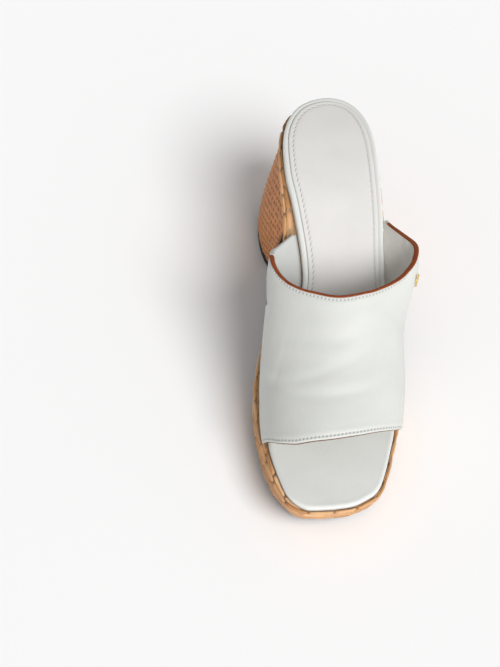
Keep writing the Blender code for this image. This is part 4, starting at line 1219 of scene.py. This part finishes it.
def build_heel_wrap():
    count, levels = 360, 150
    rows = np.linspace(0, 1, levels)
    base = np.stack([smooth_line(heel_side(t), count) for t in rows])
    cols = count + 1
    mid = base[levels // 2]
    s = lengths(mid)
    whole = s[-1]
    down = np.linalg.norm(np.diff(base, axis=0), axis=-1)
    t = np.vstack([np.zeros(cols), np.cumsum(down, axis=0)])
    t = t * (t[:, cols // 2].max() / t.max(axis=0))[None, :] * 0.5 + t * 0.5
    normal = outward_normals(base)
    ss = np.broadcast_to(s, t.shape)
    lift, tone, gap_shade, edge = dots(ss, t, whole)
    sides = ease(np.minimum(ss, whole - ss), 0.0, 1.0)
    ends = ease(np.minimum(t, t.max(axis=0)[None, :] - t), 0.0, 0.8)
    lift = lift * sides * ends - 0.45 * (1 - sides) - 0.25 * (1 - ends)
    # painted shade along the wrap's top and bottom edges
    edge = np.maximum(edge, 0.5 * (1 - ends))
    outer = base + normal * (lift + 0.10)[..., None]
    # the inner skin follows the flare through a few levels
    inner = [smooth_line(heel_side(t, WRAP_T), count) for t in (1.0, 0.75, 0.5, 0.3, 0.12, 0.0)]
    grid = np.concatenate([outer, np.stack(inner)])
    total = len(grid)
    faces = lattice(total, cols, loop_rows=True)
    marks = np.zeros((total, cols, 3))
    marks[:levels] = np.stack([tone, gap_shade, edge], -1)
    # the inner skin carries painted shade
    marks[levels:, :, 1] = 0.5
    piece("heel_weave", grid, faces, LOOKS["heel_raffia"], ["heel_wrap"],
          marks={"weave": marks}, uv=strip_uv(ss, t, False, whole), sharp=WEAVE_SHARP,
          extra=end_faces(total, cols))


# ---------------------------------------------------------------- CAD nodes that stay in view

DRESSED = {
    "heel_plastic": ["heel_block"],
    "sole_rubber": ["heel_breast_cover", "heel_top_lift", "outsole"],
    "fibreboard": ["insole_board"],
    "foam": ["insole_foam"],
    "cork_core": ["platform_core"],
    "shank_steel": ["shank"],
    "stiffener_cloth": ["vamp_stiffener"],
    "gold_metal": ["ornament", "ornament_pin_1", "ornament_pin_2"],
    "fixing_steel": ["heel_screw", "shank_rivet_front", "shank_rivet_rear", "top_lift_pin_1",
                     "top_lift_pin_2", "heel_nail_1", "heel_nail_2", "heel_nail_3", "heel_nail_4"],
}


def dress_frame():
    for look, names in DRESSED.items():
        for name in names:
            dress(name, look)


# ---------------------------------------------------------------- studio

FLOOR_DROP = 0.0002  # metres, so that the floor and the sole's underside do not coincide


def build_floor():
    """A wide round pale floor."""
    spokes = 96
    rings = (0.3, 0.8, 1.4, 2.2, 3.2, 5.0, 9.0)  # radii in metres
    turns = [2 * math.pi * k / spokes for k in range(spokes)]
    points = [(0, 0, 0)] + [(r * math.cos(a), r * math.sin(a), 0) for r in rings for a in turns]
    faces = [(0, 1 + k, 1 + (k + 1) % spokes) for k in range(spokes)]
    faces += (lattice(len(rings), spokes, loop_cols=True) + 1)[:, ::-1].tolist()
    mesh = bpy.data.meshes.new("studio_floor")
    mesh.from_pydata(points, [], faces)
    mesh.polygons.foreach_set("use_smooth", [True] * len(mesh.polygons))
    mat, tree, shader = fresh("floor", 0.85, specular=0.1)
    cloud = noise(tree, place_of(tree), 3.0, 2.0)
    wire(tree, (ramp(tree, cloud, (0.3, (0.915, 0.915, 0.915)), (0.7, (0.925, 0.925, 0.925))),
                shader.inputs["Base Color"]))
    mesh.materials.append(mat)
    floor = bpy.data.objects.new("studio_floor", mesh)
    floor.location = (0, 0, -FLOOR_DROP)
    bpy.context.scene.collection.objects.link(floor)


def sun(name, way, wide_deg, strength):
    """A far light that shines from the direction way."""
    data = bpy.data.lights.new(name, "SUN")
    data.angle = math.radians(wide_deg)
    data.energy = strength
    lamp = bpy.data.objects.new(name, data)
    lamp.rotation_euler = Vector(way).to_track_quat("Z", "Y").to_euler()
    bpy.context.scene.collection.objects.link(lamp)
    return lamp


def only(lamp, state):
    """Light the floor alone, or everything but the floor."""
    group = bpy.data.collections.new(lamp.name + "_floor")
    group.objects.link(bpy.data.objects["studio_floor"])
    lamp.light_linking.receiver_collection = group
    group.collection_objects[0].light_linking.link_state = state


# Name, direction it shines from, width in degrees, strength, and the floor included alone or left out
SUNS = (("key", (0.55, -0.95, 0.86), 40.0, 2.80, "EXCLUDE"),
        ("floor_key", (0.52, -0.62, 1.08), 34.0, 2.41, "INCLUDE"))
SOFT_FROM = Vector((0.30, -0.80, 0.52)).normalized()  # where most of the soft light comes from
SKY_BACK, SKY_FRONT = 0.24, 0.50  # strength of the soft light away from there and towards it
HORIZON = 0.95  # strength of the pale band along the horizon


def build_sky():
    """Soft light from all round: strongest from the front, with a pale band along the horizon."""
    world = bpy.data.worlds.new("studio")
    world.use_nodes = True
    tree = world.node_tree
    background = tree.nodes["Background"]
    way = node(tree, "TexCoord").outputs["Generated"]
    dot = node(tree, "VectorMath", operation="DOT_PRODUCT")
    dot.inputs[1].default_value = SOFT_FROM
    height = node(tree, "SeparateXYZ")
    wire(tree, (way, dot.inputs[0]), (way, height.inputs[0]))
    spread = span(tree, dot.outputs["Value"], SKY_BACK, SKY_FRONT, -0.25, 0.95, "SMOOTHSTEP")
    low = span(tree, height.outputs["Z"], HORIZON, 0.0, 0.20, 0.34, "SMOOTHSTEP")
    wire(tree, (figure(tree, "MAXIMUM", spread, low), background.inputs["Strength"]))
    background.inputs["Color"].default_value = (1.0, 1.0, 1.0, 1.0)
    bpy.context.scene.world = world


def build_studio():
    build_floor()
    build_sky()
    for name, way, wide_deg, strength, state in SUNS:
        only(sun(name, way, wide_deg, strength), state)
    bpy.context.scene.view_settings.view_transform = "Standard"
    bpy.context.scene.view_settings.look = "None"


CAMERA_AT = (-91.78, -552.84, 861.46)  # millimetres, in the object's frame
TILT = 0.582088  # radians from straight down
ROLL = 0.102229
YAW = 0.084324
SENSOR = 36.0
LENS = 97.1919  # millimetres, on that sensor


def build_camera():
    data = bpy.data.cameras.new("camera")
    data.sensor_width = SENSOR
    data.lens = LENS
    data.clip_start, data.clip_end = 0.05, 20.0
    camera = bpy.data.objects.new("camera", data)
    ahead = Vector((0, math.sin(TILT), -math.cos(TILT)))
    up = Vector((0, math.cos(TILT), math.sin(TILT)))
    right = Vector((1, 0, 0))
    side = right * math.cos(ROLL) + up * math.sin(ROLL)
    top = -right * math.sin(ROLL) + up * math.cos(ROLL)
    turn = Matrix.Rotation(-YAW, 3, "Z")
    axes = Matrix((turn @ side, turn @ top, turn @ -ahead)).transposed()
    camera.matrix_world = Matrix.Translation(Vector(CAMERA_AT) * MM) @ axes.to_4x4()
    bpy.context.scene.collection.objects.link(camera)
    bpy.context.scene.camera = camera


for leftover in [o for o in bpy.data.objects if o.name in ("Cube", "Light", "Camera")]:
    bpy.data.objects.remove(leftover)
build_camera()
build_studio()
dress_frame()
build_upper()
build_lining()
build_edges()
build_gore()
build_insole()
build_sock()
build_sole_wrap()
build_heel_wrap()
